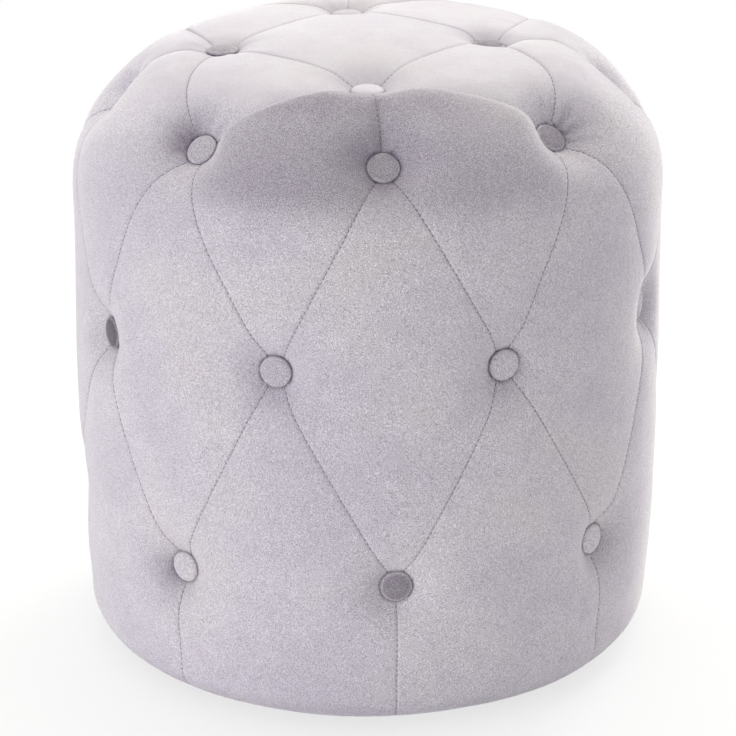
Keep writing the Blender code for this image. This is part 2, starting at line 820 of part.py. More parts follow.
def add_posts(parts, screw_holes, material):
    height = TOP_BOARD_BOTTOM - BASE_RING_TOP - 2 * CLEARANCE
    for i, angle, spot in post_places():
        bm = bmesh.new()
        bmesh.ops.create_cube(bm, size=1, matrix=Matrix.Diagonal((POST_WIDTH, POST_DEPTH, height, 1)))
        name = f"post_{i + 1}"
        obj = add_object(name, mesh_from(name, bm), parts, material)
        obj.location = spot + Vector((0, 0, BASE_RING_TOP + CLEARANCE + height / 2))
        obj.rotation_euler.z = angle
        edges = obj.modifiers.new("eased_edges", "BEVEL")
        edges.width = POST_EDGE_RADIUS
        edges.segments = 1
        cut(obj, screw_holes)


def wall_joint(cutters, wall_height):
    """Cutter for the butt joint of the bent hardboard, whose two ends meet on a post."""
    angle = ring_angle(WALL_JOINT_POST, POST_COUNT, POST_TURN)
    depth = WALL_THICKNESS + 2 * CUT_OVERRUN
    size = Matrix.Diagonal((WALL_JOINT_GAP, depth, wall_height + 2 * CUT_OVERRUN, 1))
    bm = bmesh.new()
    bmesh.ops.create_cube(bm, size=1, matrix=size)
    obj = add_object("wall_joint", mesh_from("wall_joint", bm), cutters)
    obj.location = ring_direction(angle) * WALL_OUTER_RADIUS
    obj.location.z = FRAME_BOTTOM + wall_height / 2
    obj.rotation_euler.z = angle
    return as_cutter(obj)


def add_frame(parts, cutters, materials, bores, screw_holes, pin_holes):
    top_board = add_disc(
        "top_board", parts, BOARD_RADIUS, TOP_BOARD_BOTTOM, TOP_BOARD_THICKNESS, materials["plywood"]
    )
    cut(top_board, bores)
    cut(top_board, screw_holes)

    base_ring = add_disc(
        "base_ring", parts, BOARD_RADIUS, FRAME_BOTTOM, BASE_RING_THICKNESS, materials["plywood"]
    )
    hand_hole = add_disc(
        "base_opening",
        cutters,
        BASE_RING_OPENING_RADIUS,
        FRAME_BOTTOM - CUT_OVERRUN,
        BASE_RING_THICKNESS + 2 * CUT_OVERRUN,
    )
    cut(base_ring, as_cutter(hand_hole))
    cut(base_ring, screw_holes)
    cut(base_ring, pin_holes)

    wall_height = FRAME_TOP - FRAME_BOTTOM
    wall = add_disc(
        "hardboard_wall",
        parts,
        WALL_OUTER_RADIUS,
        FRAME_BOTTOM,
        wall_height,
        materials["hardboard"],
    )
    inside = add_disc(
        "wall_inside",
        cutters,
        WALL_INNER_RADIUS,
        FRAME_BOTTOM - CUT_OVERRUN,
        wall_height + 2 * CUT_OVERRUN,
    )
    cut(wall, as_cutter(inside))
    cut(wall, wall_joint(cutters, wall_height))
    cut(wall, bores)


# Underside


def pin_profile(clearance=0.0):
    """The glide's nail, down to the glide's own top face."""
    pin = GLIDE_PIN_RADIUS + clearance
    pin_top = GLIDE_HEIGHT + GLIDE_PIN_LENGTH + clearance
    return [(0, pin_top + pin), (pin, pin_top), (pin, GLIDE_HEIGHT)]


def glide_profile():
    return [
        *pin_profile(),
        (GLIDE_RADIUS - GLIDE_CHAMFER, GLIDE_HEIGHT),
        (GLIDE_RADIUS, GLIDE_HEIGHT - GLIDE_CHAMFER),
        (GLIDE_SOLE_RADIUS, 0),
        (0, 0),
    ]


def pin_hole_profile():
    return [*pin_profile(CLEARANCE), (0, GLIDE_HEIGHT)]


def glide_spots():
    for i in range(GLIDE_COUNT):
        yield i, ring_direction(ring_angle(i, GLIDE_COUNT, GLIDE_TURN)) * GLIDE_RING_RADIUS


def add_glides(parts, cutters, material):
    mesh = turned_mesh("glide", glide_profile(), GLIDE_STEPS)
    mesh.materials.append(material)
    bm = bmesh.new()
    pin_mesh = turned_mesh("pin_space", pin_hole_profile(), SCREW_STEPS)
    for i, spot in glide_spots():
        add_object(f"glide_{i + 1}", mesh, parts).location = spot
        copy = pin_mesh.copy()
        copy.transform(Matrix.Translation(spot))
        bm.from_mesh(copy)
    return as_cutter(add_object("pin_holes", mesh_from("pin_holes", bm), cutters))


def main():
    clear_scene()
    parts, cutters = make_collections()
    materials = make_materials()
    profile = Profile()
    places = button_places(profile)
    tufting = Tufting(profile, places)
    tips = [profile.point(*place) for ring_places in places.values() for place in ring_places]
    opened_bm = opened_surface(cover_surface(profile, places, tufting), tips)
    cover_tree = BVHTree.FromBMesh(opened_bm)
    plans = {
        ring: [ButtonPlan(profile, cover_tree, place) for place in ring_places]
        for ring, ring_places in places.items()
    }

    add_cover(parts, opened_bm.copy(), materials["velvet"])
    add_buttons(parts, plans, materials["velvet"])
    bores = twine_bores(cutters, plans)
    add_foam(parts, cutters, foam_block(opened_bm), bores, materials["foam"])

    screw_holes = add_screws(parts, cutters, materials["zinc"])
    pin_holes = add_glides(parts, cutters, materials["nylon"])
    add_frame(parts, cutters, materials, bores, screw_holes, pin_holes)
    add_posts(parts, screw_holes, materials["pine"])
    dust_cover = add_disc(
        "dust_cover",
        parts,
        DUST_COVER_RADIUS,
        DUST_COVER_BOTTOM,
        DUST_COVER_THICKNESS,
        materials["nonwoven"],
    )
    cut(dust_cover, pin_holes)


main()
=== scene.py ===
import math
import random

import bmesh
import bpy
import numpy as np
from mathutils import Matrix, Vector, noise
from mathutils.bvhtree import BVHTree
from mathutils.kdtree import KDTree


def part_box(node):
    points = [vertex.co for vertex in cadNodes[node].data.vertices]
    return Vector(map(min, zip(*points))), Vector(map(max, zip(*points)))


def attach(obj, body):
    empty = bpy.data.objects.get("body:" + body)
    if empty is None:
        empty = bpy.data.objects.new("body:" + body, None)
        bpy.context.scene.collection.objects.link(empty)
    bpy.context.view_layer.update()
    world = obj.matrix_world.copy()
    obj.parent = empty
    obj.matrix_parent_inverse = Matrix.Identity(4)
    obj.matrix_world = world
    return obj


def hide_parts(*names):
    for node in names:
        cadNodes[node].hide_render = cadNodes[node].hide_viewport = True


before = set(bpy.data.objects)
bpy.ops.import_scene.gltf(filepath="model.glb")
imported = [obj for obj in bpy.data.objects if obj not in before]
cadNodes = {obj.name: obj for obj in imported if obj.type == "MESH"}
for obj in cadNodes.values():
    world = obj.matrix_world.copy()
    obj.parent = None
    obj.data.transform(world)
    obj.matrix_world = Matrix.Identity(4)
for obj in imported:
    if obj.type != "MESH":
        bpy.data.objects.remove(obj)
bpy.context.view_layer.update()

# Round tufted ottoman: metres, +Z up, on the floor at the origin, front column of buttons towards -Y.
# A spot on the cover is (angle from -Y towards +X, arc length down the outline from the crown's centre).

scene = bpy.context.scene


# Outline of the body over the crests of its panels

body = dict(
    radius=0.210, height=0.445, crownRise=0.006,
    shoulderWidth=0.092, shoulderHeight=0.1006,
    hemFillet=0.026, hemBottom=0.0074, hemOpening=0.1377, steps=120,
)


def makeOutline():
    turn = np.linspace(0, math.pi / 2, body["steps"])
    share = np.linspace(0, 1, body["steps"])
    flat = body["radius"] - body["shoulderWidth"]
    shoulderTop = body["height"] - body["crownRise"]
    wallTop = shoulderTop - body["shoulderHeight"]
    wallBottom = body["hemBottom"] + body["hemFillet"]
    hemEdge = body["radius"] - body["hemFillet"]
    rise, bend = (1 - np.cos(math.pi * share)) / 2, 1 - np.cos(turn)
    parts = [
        (share * flat, body["height"] - body["crownRise"] * rise),
        (flat + body["shoulderWidth"] * np.sin(turn), shoulderTop - body["shoulderHeight"] * bend),
        (np.full_like(share, body["radius"]), wallTop + (wallBottom - wallTop) * share),
        (body["radius"] - body["hemFillet"] * bend, wallBottom - body["hemFillet"] * np.sin(turn)),
        (hemEdge + (body["hemOpening"] - hemEdge) * share, np.full_like(share, body["hemBottom"])),
    ]
    # Each stretch starts where the one before it ends
    radii, heights = (np.concatenate([part[k][1 if i else 0:] for i, part in enumerate(parts)])
                      for k in (0, 1))
    arcs = np.concatenate([[0], np.cumsum(np.hypot(np.diff(radii), np.diff(heights)))])
    out, up = -np.gradient(heights, arcs), np.gradient(radii, arcs)
    size = np.hypot(out, up)
    return dict(arcs=arcs, radii=radii, heights=heights, out=out / size, up=up / size)


outline = makeOutline()
hemEnd = outline["arcs"][-1]
filletEnd = hemEnd - (body["radius"] - body["hemFillet"] - body["hemOpening"])


def alongOutline(arc, *names):
    return [np.interp(arc, outline["arcs"], outline[name]) for name in names]


def aroundAxis(angle, reach, height):
    return np.stack([np.sin(angle) * reach, -np.cos(angle) * reach, height], axis=-1)


def onBody(spots):
    return aroundAxis(spots[..., 0], *alongOutline(spots[..., 1], "radii", "heights"))


def outward(spots):
    return aroundAxis(spots[..., 0], *alongOutline(spots[..., 1], "out", "up"))


def arcAtRadius(radius):
    return float(np.interp(radius, outline["radii"][:body["steps"]], outline["arcs"][:body["steps"]]))


def arcAtHeight(height):
    return float(np.interp(-height, -outline["heights"], outline["arcs"]))


# Rings of tuft buttons, with the drift of hand tying

tufts = dict(
    crown=dict(count=4, turn=0.0, depth=0.0070, radius=0.0945, shift=-0.008, dimple=0.0075),
    shoulder=dict(count=8, turn=math.radians(-1.2), depth=0.028, slope=math.radians(48), dimple=0.0180),
    waist=dict(count=8, turn=math.pi / 8, depth=0.017, height=0.267, dimple=0.0135),
    skirt=dict(count=8, turn=math.radians(0.9), depth=0.017, height=0.113, dimple=0.0125),
)

# Single buttons out of line with their ring: turn, drop down the cover, change of depth
drifts = dict(
    crown_button_1=(0.0, 0.0, 0.0055),
    shoulder_button_2=(0.0, -0.0055, 0.0),
    waist_button_7=(0.0, 0.010, 0.0),
    skirt_button_2=(math.radians(1.6), 0.0, 0.0),
    skirt_button_8=(0.0, 0.0065, 0.0),
)


def driftOf(name):
    return drifts.get(name, (0.0, 0.0, 0.0))


def nearestTurn(angle, reference):
    return angle - 2 * math.pi * np.round((angle - reference) / (2 * math.pi))


def toPlan(spots):
    spots = np.asarray(spots, float)
    return np.stack([spots[..., 1] * np.sin(spots[..., 0]), -spots[..., 1] * np.cos(spots[..., 0])], axis=-1)


def fromPlan(points, near):
    angle = np.arctan2(points[..., 0], -points[..., 1])
    return np.stack([nearestTurn(angle, near), np.hypot(points[..., 0], points[..., 1])], axis=-1)


def ringSpots(name):
    ring = tufts[name]
    angles = [2 * math.pi * i / ring["count"] + ring["turn"] for i in range(ring["count"])]
    if name == "crown":
        arc = arcAtRadius(ring["radius"])
        shift = np.array([ring["shift"], 0.0])
        return [fromPlan(toPlan((angle, arc)) + shift, angle) for angle in angles]
    if name == "shoulder":
        top = body["height"] - body["crownRise"]
        arc = arcAtHeight(top - body["shoulderHeight"] * (1 - math.sin(ring["slope"])))
    else:
        arc = arcAtHeight(ring["height"])
    spots = [np.array([angle, arc]) for angle in angles]
    return [spot + driftOf(f"{name}_button_{i + 1}")[:2] for i, spot in enumerate(spots)]


ringNames = ("crown", "shoulder", "waist", "skirt")
rings = {name: ringSpots(name) for name in ringNames}
buttonNames = [f"{name}_button_{i + 1}" for name in ringNames for i in range(tufts[name]["count"])]
buttonRings = [name.split("_")[0] for name in buttonNames]
buttonSpots = np.array([spot for name in ringNames for spot in rings[name]])
buttonDepths = np.array([tufts[ring]["depth"] + driftOf(name)[2]
                         for name, ring in zip(buttonNames, buttonRings)])
buttonPoints = onBody(buttonSpots)
buttonAxes = outward(buttonSpots)
coverTips = buttonPoints - buttonAxes * buttonDepths[:, None]

buttonForm = dict(
    radius=0.0110, dome=0.0046, rim=0.0016, bulge=2.9, sides=48, domeRings=12, seed=5,
    tuck=((0.985, 0.45), (0.93, 0.12), (0.80, 0.0)), pleats=17, pleatDepth=0.012, pleatDrift=3,
    plate=((0.0030, -0.0002), (0.0012, -0.0012)),
    twineRadius=0.0010, twineStart=0.0024, twineStep=0.0016, twist=1900.0, lay=0.2,
    knotRadius=0.0035, knotRings=7, knotTurns=3, knotTwist=1800.0, knotLay=0.12,
    level=(0.72, 0.96), edge=(0.80, 0.97), edgeHeight=0.9, tuckHeight=0.5, underCap=0.0003,
)

# How dark each cap is painted: painted shade set for the listed caps, and a random tone drawn for the hidden
# buttons
capShadeAndTone = dict(
    crown_button_1=0.0, crown_button_2=1.5, crown_button_3=0.25, crown_button_4=1.0,
    shoulder_button_1=0.95, shoulder_button_2=1.2, shoulder_button_8=0.55,
    waist_button_8=0.3, waist_button_1=0.0, waist_button_7=1.9, waist_button_2=0.35,
    skirt_button_1=1.3, skirt_button_2=0.0, skirt_button_8=0.1,
)

# Painted light over a whole cap where the number is positive, painted shade where it is negative
capPaintedLightShade = dict(crown_button_1=0.14, waist_button_7=-0.34)

# Caps that sit lower than their solid, or higher where the number is negative
sunk = dict(crown_button_2=0.0006, crown_button_4=-0.0010)


def meshPoints(mesh):
    points = np.zeros(len(mesh.vertices) * 3, np.float32)
    mesh.vertices.foreach_get("co", points)
    return points.reshape(-1, 3).astype(float)


def buttonReach(k):
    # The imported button's lowest and highest point along its axis, from the cover's tuft point
    reach = (meshPoints(cadNodes[buttonNames[k]].data) - coverTips[k]) @ buttonAxes[k]
    return reach.min(), reach.max()


buttonSeats = np.array([buttonReach(k)[1] - buttonForm["dome"] - sunk.get(name, 0.0)
                        for k, name in enumerate(buttonNames)])
print("outline and", len(buttonNames), "button places ready")


# Sewn panels: every edge is (path, kind of seam), and a panel is laid out in the crown's plan or round
# the side

def sidePath(start, end, share):
    turn = nearestTurn(end[0], start[0]) - start[0]
    return np.stack([start[0] + share * turn, start[1] + share * (end[1] - start[1])], axis=-1)


def crownPath(start, end, share):
    share = share[:, None]
    return fromPlan((1 - share) * toPlan(start) + share * toPlan(end), start[0])


seamBow = 0.0095
seamLean = math.radians(2.0)


def bowedPath(start, end, share):
    # Between a crown and a shoulder button, bowed away from the triangle's middle line
    a, b = toPlan(start), toPlan(end)
    tip, inner = (a, b) if start[1] > end[1] else (b, a)
    middle = tip / np.linalg.norm(tip)
    run = (b - a) / np.linalg.norm(b - a)
    aside = inner - middle * (inner @ middle)
    aside = aside - run * (aside @ run)
    share = share[:, None]
    bow = seamBow * np.sin(math.pi * share) * aside / np.linalg.norm(aside)
    return fromPlan((1 - share) * a + share * b + bow, start[0])


def leaningPath(start, end, share):
    # The seam from the front right shoulder button to the waist is sewn in a bow
    spots = sidePath(start, end, share)
    spots[..., 0] -= seamLean * np.sin(math.pi * share)
    return spots


def sewnPanels():
    crown, shoulder, waist, skirt = (rings[name] for name in ringNames)
    square, side, leaning = (crownPath, "square"), (sidePath, "side"), (leaningPath, "side")
    ridge, drop, hem = (crownPath, "ridge"), (sidePath, "drop"), (sidePath, "hem")

    def fold(start, end, where):
        # Only the folds of the front crown button stand up as a lip; the other three lie flat
        front = start is crown[0] or end is crown[0]
        return bowedPath, where if front else "crease"

    panels = [dict(kind="square", corners=crown, edges=[square] * 4, plan=True, angle=0.0)]
    for i in range(4):
        here, ahead, even, odd, after = crown[i], crown[(i + 1) % 4], 2 * i, 2 * i + 1, (2 * i + 2) % 8
        tip = shoulder[odd]
        panels.append(dict(
            kind="triangle", corners=[tip, here, ahead], plan=True, angle=tip[0],
            edges=[fold(tip, here, "foldAbove"), square, fold(ahead, tip, "foldAbove")],
        ))
        panels.append(dict(
            kind="kite", corners=[here, shoulder[even], waist[even], tip], plan=False, angle=waist[even][0],
            edges=[ridge, side, side if i else leaning, fold(tip, here, "foldBelow")],
        ))
        panels.append(dict(
            kind="kite", corners=[ahead, tip, waist[odd], shoulder[after]], plan=False, angle=waist[odd][0],
            edges=[fold(ahead, tip, "foldBelow"), side, side, ridge],
        ))
    for i in range(8):
        before, ahead = waist[(i - 1) % 8], skirt[(i + 1) % 8]
        panels.append(dict(
            kind="diamond", corners=[shoulder[i], before, skirt[i], waist[i]],
            edges=[leaning if i == 1 else side, side, side, side], plan=False, angle=shoulder[i][0],
        ))
        hems = [np.array([skirt[i][0], hemEnd]), np.array([ahead[0], hemEnd])]
        panels.append(dict(
            kind="skirt", corners=[waist[i], skirt[i], *hems, ahead],
            edges=[side, drop, hem, drop, side], plan=False, angle=waist[i][0],
        ))
    return panels


panels = sewnPanels()

# The weld's cells are offset, so that no seam lies on the border between two of them
weave = dict(steps=15, crowding=0.66, seamSamples=40, weld=0.0001, weldOffset=0.3137)


def gradedShares():
    share = np.linspace(0, 1, weave["steps"] + 1)
    return (1 - weave["crowding"]) * share + weave["crowding"] * share ** 2


def panelEdges(panel):
    # One function per edge, from share to the panel's own flat layout
    def edge(k):
        path = panel["edges"][k][0]
        start, end = panel["corners"][k], panel["corners"][(k + 1) % len(panel["corners"])]

        def at(share):
            spots = path(start, end, np.atleast_1d(np.asarray(share, float)))
            if panel["plan"]:
                return toPlan(spots)
            return np.stack([nearestTurn(spots[..., 0], panel["angle"]), spots[..., 1]], axis=-1)
        return at
    return [edge(k) for k in range(len(panel["corners"]))]


def panelPatches(panel):
    # Splits the panel into one four-sided patch per corner, each filled between its four borders
    edges = panelEdges(panel)
    middles = [edge(0.5)[0] for edge in edges]
    centre = np.mean(middles, axis=0)
    g = gradedShares()
    patches = []
    for k, edge in enumerate(edges):
        low = edge(0.5 * g)
        left = edges[k - 1](1 - 0.5 * g)
        right = middles[k] + g[:, None] * (centre - middles[k])
        top = middles[k - 1] + g[:, None] * (centre - middles[k - 1])
        u, v = g[:, None, None], g[None, :, None]
        corners = (
            (1 - u) * (1 - v) * low[0] + u * (1 - v) * low[-1]
            + (1 - u) * v * left[-1] + u * v * centre
        )
        flat = (1 - v) * low[:, None] + v * top[:, None] + (1 - u) * left[None] + u * right[None]
        flat -= corners
        spots = fromPlan(flat, panel["angle"]) if panel["plan"] else flat
        points = onBody(spots)
        across = np.cross(points[1, 0] - points[0, 0], points[0, 1] - points[0, 0])
        if np.dot(across, outward(spots[0, 0])) < 0:
            spots = spots.transpose(1, 0, 2)
        patches.append(spots)
    return patches


def distanceToLine(points, line):
    starts, runs = line[:-1], np.diff(line, axis=0)
    offset = points[:, None] - starts[None]
    along = np.clip(np.sum(offset * runs, axis=-1) / np.sum(runs * runs, axis=-1), 0, 1)
    return np.min(np.linalg.norm(offset - along[..., None] * runs, axis=-1), axis=1)


def smoothStep(value, low, high):
    share = np.clip((value - low) / (high - low), 0, 1)
    return share * share * (3 - 2 * share)


# How the cover is drawn in: a valley along each seam, a dimple at each button

drawIn = dict(
    square=dict(depth=0.0004, reach=0.008),
    crease=dict(depth=0.0012, reach=0.008),
    foldAbove=dict(depth=0.0050, reach=0.011),
    foldBelow=dict(depth=0.0050, reach=0.0050),
    ridge=dict(depth=0.0008, reach=0.007),
    side=dict(depth=0.0010, reach=0.008),
    drop=dict(depth=0.0009, reach=0.008),
    blend=6, valleyPower=1.15, hemFade=0.055,
    dimpleCore=0.0112, dimplePower=1.35, deeperWider=1.4,
    kiteDimple=0.60, kiteSpread=0.008, lipLow=-0.010, lipHigh=0.010,
    above=dict(shoulder_button_7=0.50, shoulder_button_6=0.72, shoulder_button_4=0.72, crown_button_4=1.2),
    below=dict(shoulder_button_7=0.85, shoulder_button_6=0.72, shoulder_button_4=0.72, crown_button_4=1.2),
    collar=0.0011, collarInner=0.0101, collarOuter=0.0117, underCap=0.0002,
)

# Extra fullness of each panel over the outline, most in the two front shoulder panels
fullness = dict(
    square=0.0, triangle=0.0, kite=0.0012, frontKite=0.0048, diamond=0.0, skirt=0.0,
    frontHalfTurn=math.radians(30), reach=0.008, power=1.3, top=0.420, bottom=0.355,
    ridgeShare=0.50, ridgeReach=0.030, besideButton=(0.008, 0.034),
)

# The stuffed body against the outline: push at each radius of the crown, then at each height of the side
stuffing = dict(
    crown=((0.0, 0.0028), (0.050, 0.0028), (0.080, 0.0030), (0.104, 0.0030), (0.126, 0.0024)),
    side=((0.410, 0.0020), (0.370, 0.0016), (0.330, 0.0002), (0.250, 0.0012), (0.170, 0.0026),
          (0.110, 0.0018), (0.065, 0.0), (0.036, -0.0028), (0.012, -0.0008)),
    right=dict(push=0.0024, height=0.388, reach=0.034),
    left=dict(push=-0.0036, height=0.415, reach=0.020),
)


def stuffedPush(spots):
    # The shoulder holds a little more on the right, and less at the top left
    def lean(name):
        bulge = stuffing[name]
        return bulge["push"] * np.exp(-((height - bulge["height"]) / bulge["reach"]) ** 2)

    places = [(arcAtRadius(radius), push) for radius, push in stuffing["crown"]]
    places += [(arcAtHeight(height), push) for height, push in stuffing["side"]]
    height = alongOutline(spots[:, 1], "heights")[0]
    toRight = np.sin(spots[:, 0])
    leaning = np.where(toRight > 0, toRight * lean("right"), -toRight * lean("left"))
    return np.interp(spots[:, 1], *zip(*places)) + leaning


seamShares = np.linspace(0, 1, weave["seamSamples"])


def toEdge(panel, k, points):
    # Distance to the panel's edge number k
    start, end = panel["corners"][k], panel["corners"][(k + 1) % len(panel["corners"])]
    return distanceToLine(points, onBody(panel["edges"][k][0](start, end, seamShares)))


def seamDepths(panel, points):
    # Depth below the crests from the panel's own seams, and the distance to the nearest one
    total, nearest = np.zeros(len(points)), np.full(len(points), 1.0)
    for k, (path, kind) in enumerate(panel["edges"]):
        if kind == "hem":
            continue
        away = toEdge(panel, k, points)
        nearest = np.minimum(nearest, away)
        valley = drawIn[kind]["depth"] * np.exp(-(away / drawIn[kind]["reach"]) ** drawIn["valleyPower"])
        total += valley ** drawIn["blend"]
    return total ** (1 / drawIn["blend"]), nearest


def isFrontKite(panel):
    return panel["kind"] == "kite" and abs(nearestTurn(panel["angle"], 0.0)) < fullness["frontHalfTurn"]


def panelFullness(panel, points, away):
    rise = fullness["frontKite" if isFrontKite(panel) else panel["kind"]]
    beside = 1.0
    if isFrontKite(panel):
        # The ridge between the two front panels hardly dips
        ways = [toEdge(panel, k, points) for k in range(len(panel["edges"]))]
        ridge = [kind for path, kind in panel["edges"]].index("ridge")
        away = np.min([way for k, way in enumerate(ways) if k != ridge], axis=0)
        beside = 1 - (1 - fullness["ridgeShare"]) * np.exp(-(ways[ridge] / fullness["ridgeReach"]) ** 2)
        fromCrown = np.linalg.norm(points - buttonPoints[0], axis=1)
        beside = beside * smoothStep(fromCrown, *fullness["besideButton"])
    inside = 1 - np.exp(-(away / fullness["reach"]) ** fullness["power"])
    return rise * inside * beside * smoothStep(points[:, 2], fullness["bottom"], fullness["top"])


def weldKeys(points):
    cells = np.floor(points / weave["weld"] + weave["weldOffset"]).astype(np.int64)
    return np.unique(cells, axis=0, return_index=True, return_inverse=True)[1:]


def layOutCover():
    patches, owners, depths, seams, fronts = [], [], [], [], []
    for number, panel in enumerate(panels):
        for spots in panelPatches(panel):
            flat = spots.reshape(-1, 2)
            points = onBody(flat)
            depth, away = seamDepths(panel, points)
            patches.append(flat)
            owners.append(number)
            depths.append(depth - panelFullness(panel, points, away) - stuffedPush(flat))
            seams.append(away)
            fronts.append(np.full(len(flat), float(isFrontKite(panel))))
    spots = np.concatenate(patches)
    first, index = weldKeys(onBody(spots))
    index = index.reshape(-1)

    def welded(values):
        return np.bincount(index, np.concatenate(values)) / np.bincount(index)

    side = weave["steps"] + 1
    return dict(grids=index.reshape(len(patches), side, side), owners=np.array(owners), spots=spots[first],
                seamDepth=welded(depths), seamAway=welded(seams), frontKite=welded(fronts))


cover = layOutCover()
coverBase = onBody(cover["spots"])
coverOut = outward(cover["spots"])
print("cover laid out:", len(coverBase), "points in", len(cover["grids"]), "patches")


def toNearest(points, places):
    away = np.linalg.norm(points[:, None] - places[None], axis=-1)
    nearest = np.argmin(away, axis=1)
    return nearest, away[np.arange(len(points)), nearest]


nearButton, buttonAway = toNearest(coverBase, buttonPoints)


def dimpleReach():
    # Shorter on the front shoulder panels, whose lip stands close above the shoulder buttons
    def perButton(value):
        return np.array([value(name, ring) for name, ring in zip(buttonNames, buttonRings)])[nearButton]

    reach = perButton(lambda name, ring: driftOf(name)[2] * drawIn["deeperWider"] + tufts[ring]["dimple"])
    upper, lower = (perButton(lambda name, ring: drawIn[side].get(name, 1.0)) for side in ("above", "below"))
    shoulder = perButton(lambda name, ring: float(ring == "shoulder"))
    above = smoothStep(coverBase[:, 2] - buttonPoints[nearButton, 2], drawIn["lipLow"], drawIn["lipHigh"])
    reach = reach * (lower + (upper - lower) * above)
    lip = shoulder * above * cover["frontKite"] * smoothStep(cover["seamAway"], 0, drawIn["kiteSpread"])
    return reach * (1 - (1 - drawIn["kiteDimple"]) * lip)


def drawnDepth():
    # The cover lies flat under each button, laps up over its rim as a collar, and opens out from there
    beyond = np.maximum(buttonAway - drawIn["dimpleCore"], 0) / dimpleReach()
    pull = np.exp(-beyond ** drawIn["dimplePower"])
    seat = (buttonDepths - buttonSeats)[nearButton]
    depth = cover["seamDepth"] + (seat - drawIn["collar"] - cover["seamDepth"]) * pull
    under = 1 - smoothStep(buttonAway, drawIn["collarInner"], drawIn["collarOuter"])
    depth = depth + (seat + drawIn["underCap"] - depth) * under
    return depth * (1 - smoothStep(cover["spots"][:, 1], filletEnd - drawIn["hemFade"], filletEnd))


# Gathers that run out from under each button, and the slow unevenness of hand-laid foam

gathers = dict(
    seed=31, count=(6, 9), height=(0.0006, 0.0018), width=(0.0020, 0.0034), length=(0.006, 0.018),
    crown=0.5, shoulder=1.0, waist=0.5, skirt=0.35,
    scatter=0.45, start=0.0115, spreading=0.12, reach=0.060, rise=(0.0112, 0.0130),
)

# Gathers of the front buttons: direction in degrees from the right, then height, width and length in mm
frontGathers = dict(
    shoulder_button_8=((72, 2.6, 1.8, 10), (108, 2.4, 1.8, 10), (138, 3.0, 1.7, 14),
                       (160, 3.4, 1.6, 16), (186, 2.4, 2.0, 13), (222, 1.4, 2.4, 9)),
    shoulder_button_1=((62, 2.2, 2.0, 8), (118, 2.4, 2.0, 10), (146, 1.5, 1.8, 9),
                       (28, 1.2, 2.0, 8), (205, 0.8, 2.6, 10)),
    shoulder_button_2=((6, 2.8, 1.8, 14), (36, 3.0, 1.8, 15), (68, 1.8, 1.8, 9),
                       (-24, 2.2, 1.8, 12), (104, 1.2, 2.0, 8)),
    waist_button_2=((-18, 1.6, 1.6, 14), (-42, 1.6, 1.6, 13), (-66, 1.0, 1.8, 10)),
    crown_button_1=((70, 1.0, 1.6, 9), (112, 1.1, 1.6, 10), (140, 0.8, 1.8, 8)),
    waist_button_8=((215, 1.0, 2.6, 9), (248, 0.8, 2.4, 8)),
    waist_button_1=((262, 0.9, 2.6, 8), (300, 1.0, 2.6, 9)),
    skirt_button_8=((190, 1.3, 2.6, 10), (222, 1.5, 2.4, 10), (250, 1.0, 2.4, 8)),
    skirt_button_1=((200, 0.5, 3.0, 8), (330, 0.5, 3.0, 8)),
    skirt_button_2=((-20, 1.1, 2.6, 10), (-55, 1.2, 2.6, 10)),
)
unevenness = dict(slow=0.0011, slowSize=11.0, quick=0.00035, quickSize=34.0, quickShift=7.0,
                  seamCalm=0.02, hemFade=0.02)


def buttonFrame(k):
    axis = Vector(buttonAxes[k])
    turn = axis.to_track_quat("Z", "Y").to_matrix()
    return np.array(turn.col[0]), np.array(turn.col[1]), np.array(axis)


def gathersOf(k, draw):
    if buttonNames[k] in frontGathers:
        return [(turn, *(size / 1000 for size in sizes)) for turn, *sizes in frontGathers[buttonNames[k]]]
    number = draw.randint(*gathers["count"])
    drawn = []
    for i in range(number):
        height, width, length = (draw.uniform(*gathers[name]) for name in ("height", "width", "length"))
        turn = 360 * (i + draw.uniform(-gathers["scatter"], gathers["scatter"])) / number
        drawn.append((turn, height * gathers[buttonRings[k]], width, length))
    return drawn


def gatherHeight(points):
    draw = random.Random(gathers["seed"])
    raised = np.zeros(len(points))
    nearest, away = toNearest(points, coverTips)
    for k, tip in enumerate(coverTips):
        right, up = buttonFrame(k)[:2]
        close = np.nonzero((nearest == k) & (away < gathers["reach"]))[0]
        offset = points[close] - tip
        x, y = offset @ right, offset @ up
        total = np.zeros(len(close))
        for turn, height, width, length in gathersOf(k, draw):
            angle = math.radians(turn)
            along = x * math.cos(angle) + y * math.sin(angle)
            aside = -x * math.sin(angle) + y * math.cos(angle)
            past = np.maximum(along - gathers["start"], 0)
            across = aside / (width + gathers["spreading"] * past)
            total += height * np.exp(-across ** 2 - past / length) * (along > 0)
        raised[close] += total * smoothStep(np.hypot(x, y), *gathers["rise"])
    return raised


def unevenHeight():
    slow = np.array([noise.noise(Vector(p * unevenness["slowSize"])) for p in coverBase])
    quick = np.array([noise.noise(Vector(p * unevenness["quickSize"] + unevenness["quickShift"]))
                      for p in coverBase])
    calm = smoothStep(cover["seamAway"], 0.0, unevenness["seamCalm"])
    aboveHem = 1 - smoothStep(cover["spots"][:, 1], filletEnd - unevenness["hemFade"], filletEnd)
    return (unevenness["slow"] * slow + unevenness["quick"] * quick * calm) * aboveHem


coverPoints = coverBase - coverOut * (drawnDepth() - unevenHeight())[:, None]
print("panels drawn in and gathered")


# Mesh helpers


def newObject(name, data):
    made = bpy.data.objects.new(name, data)
    scene.collection.objects.link(made)
    return made


def gridFaces(grids):
    corners = np.stack([grids[:, :-1, :-1], grids[:, 1:, :-1], grids[:, 1:, 1:], grids[:, :-1, 1:]], axis=-1)
    return corners.reshape(-1, 4)


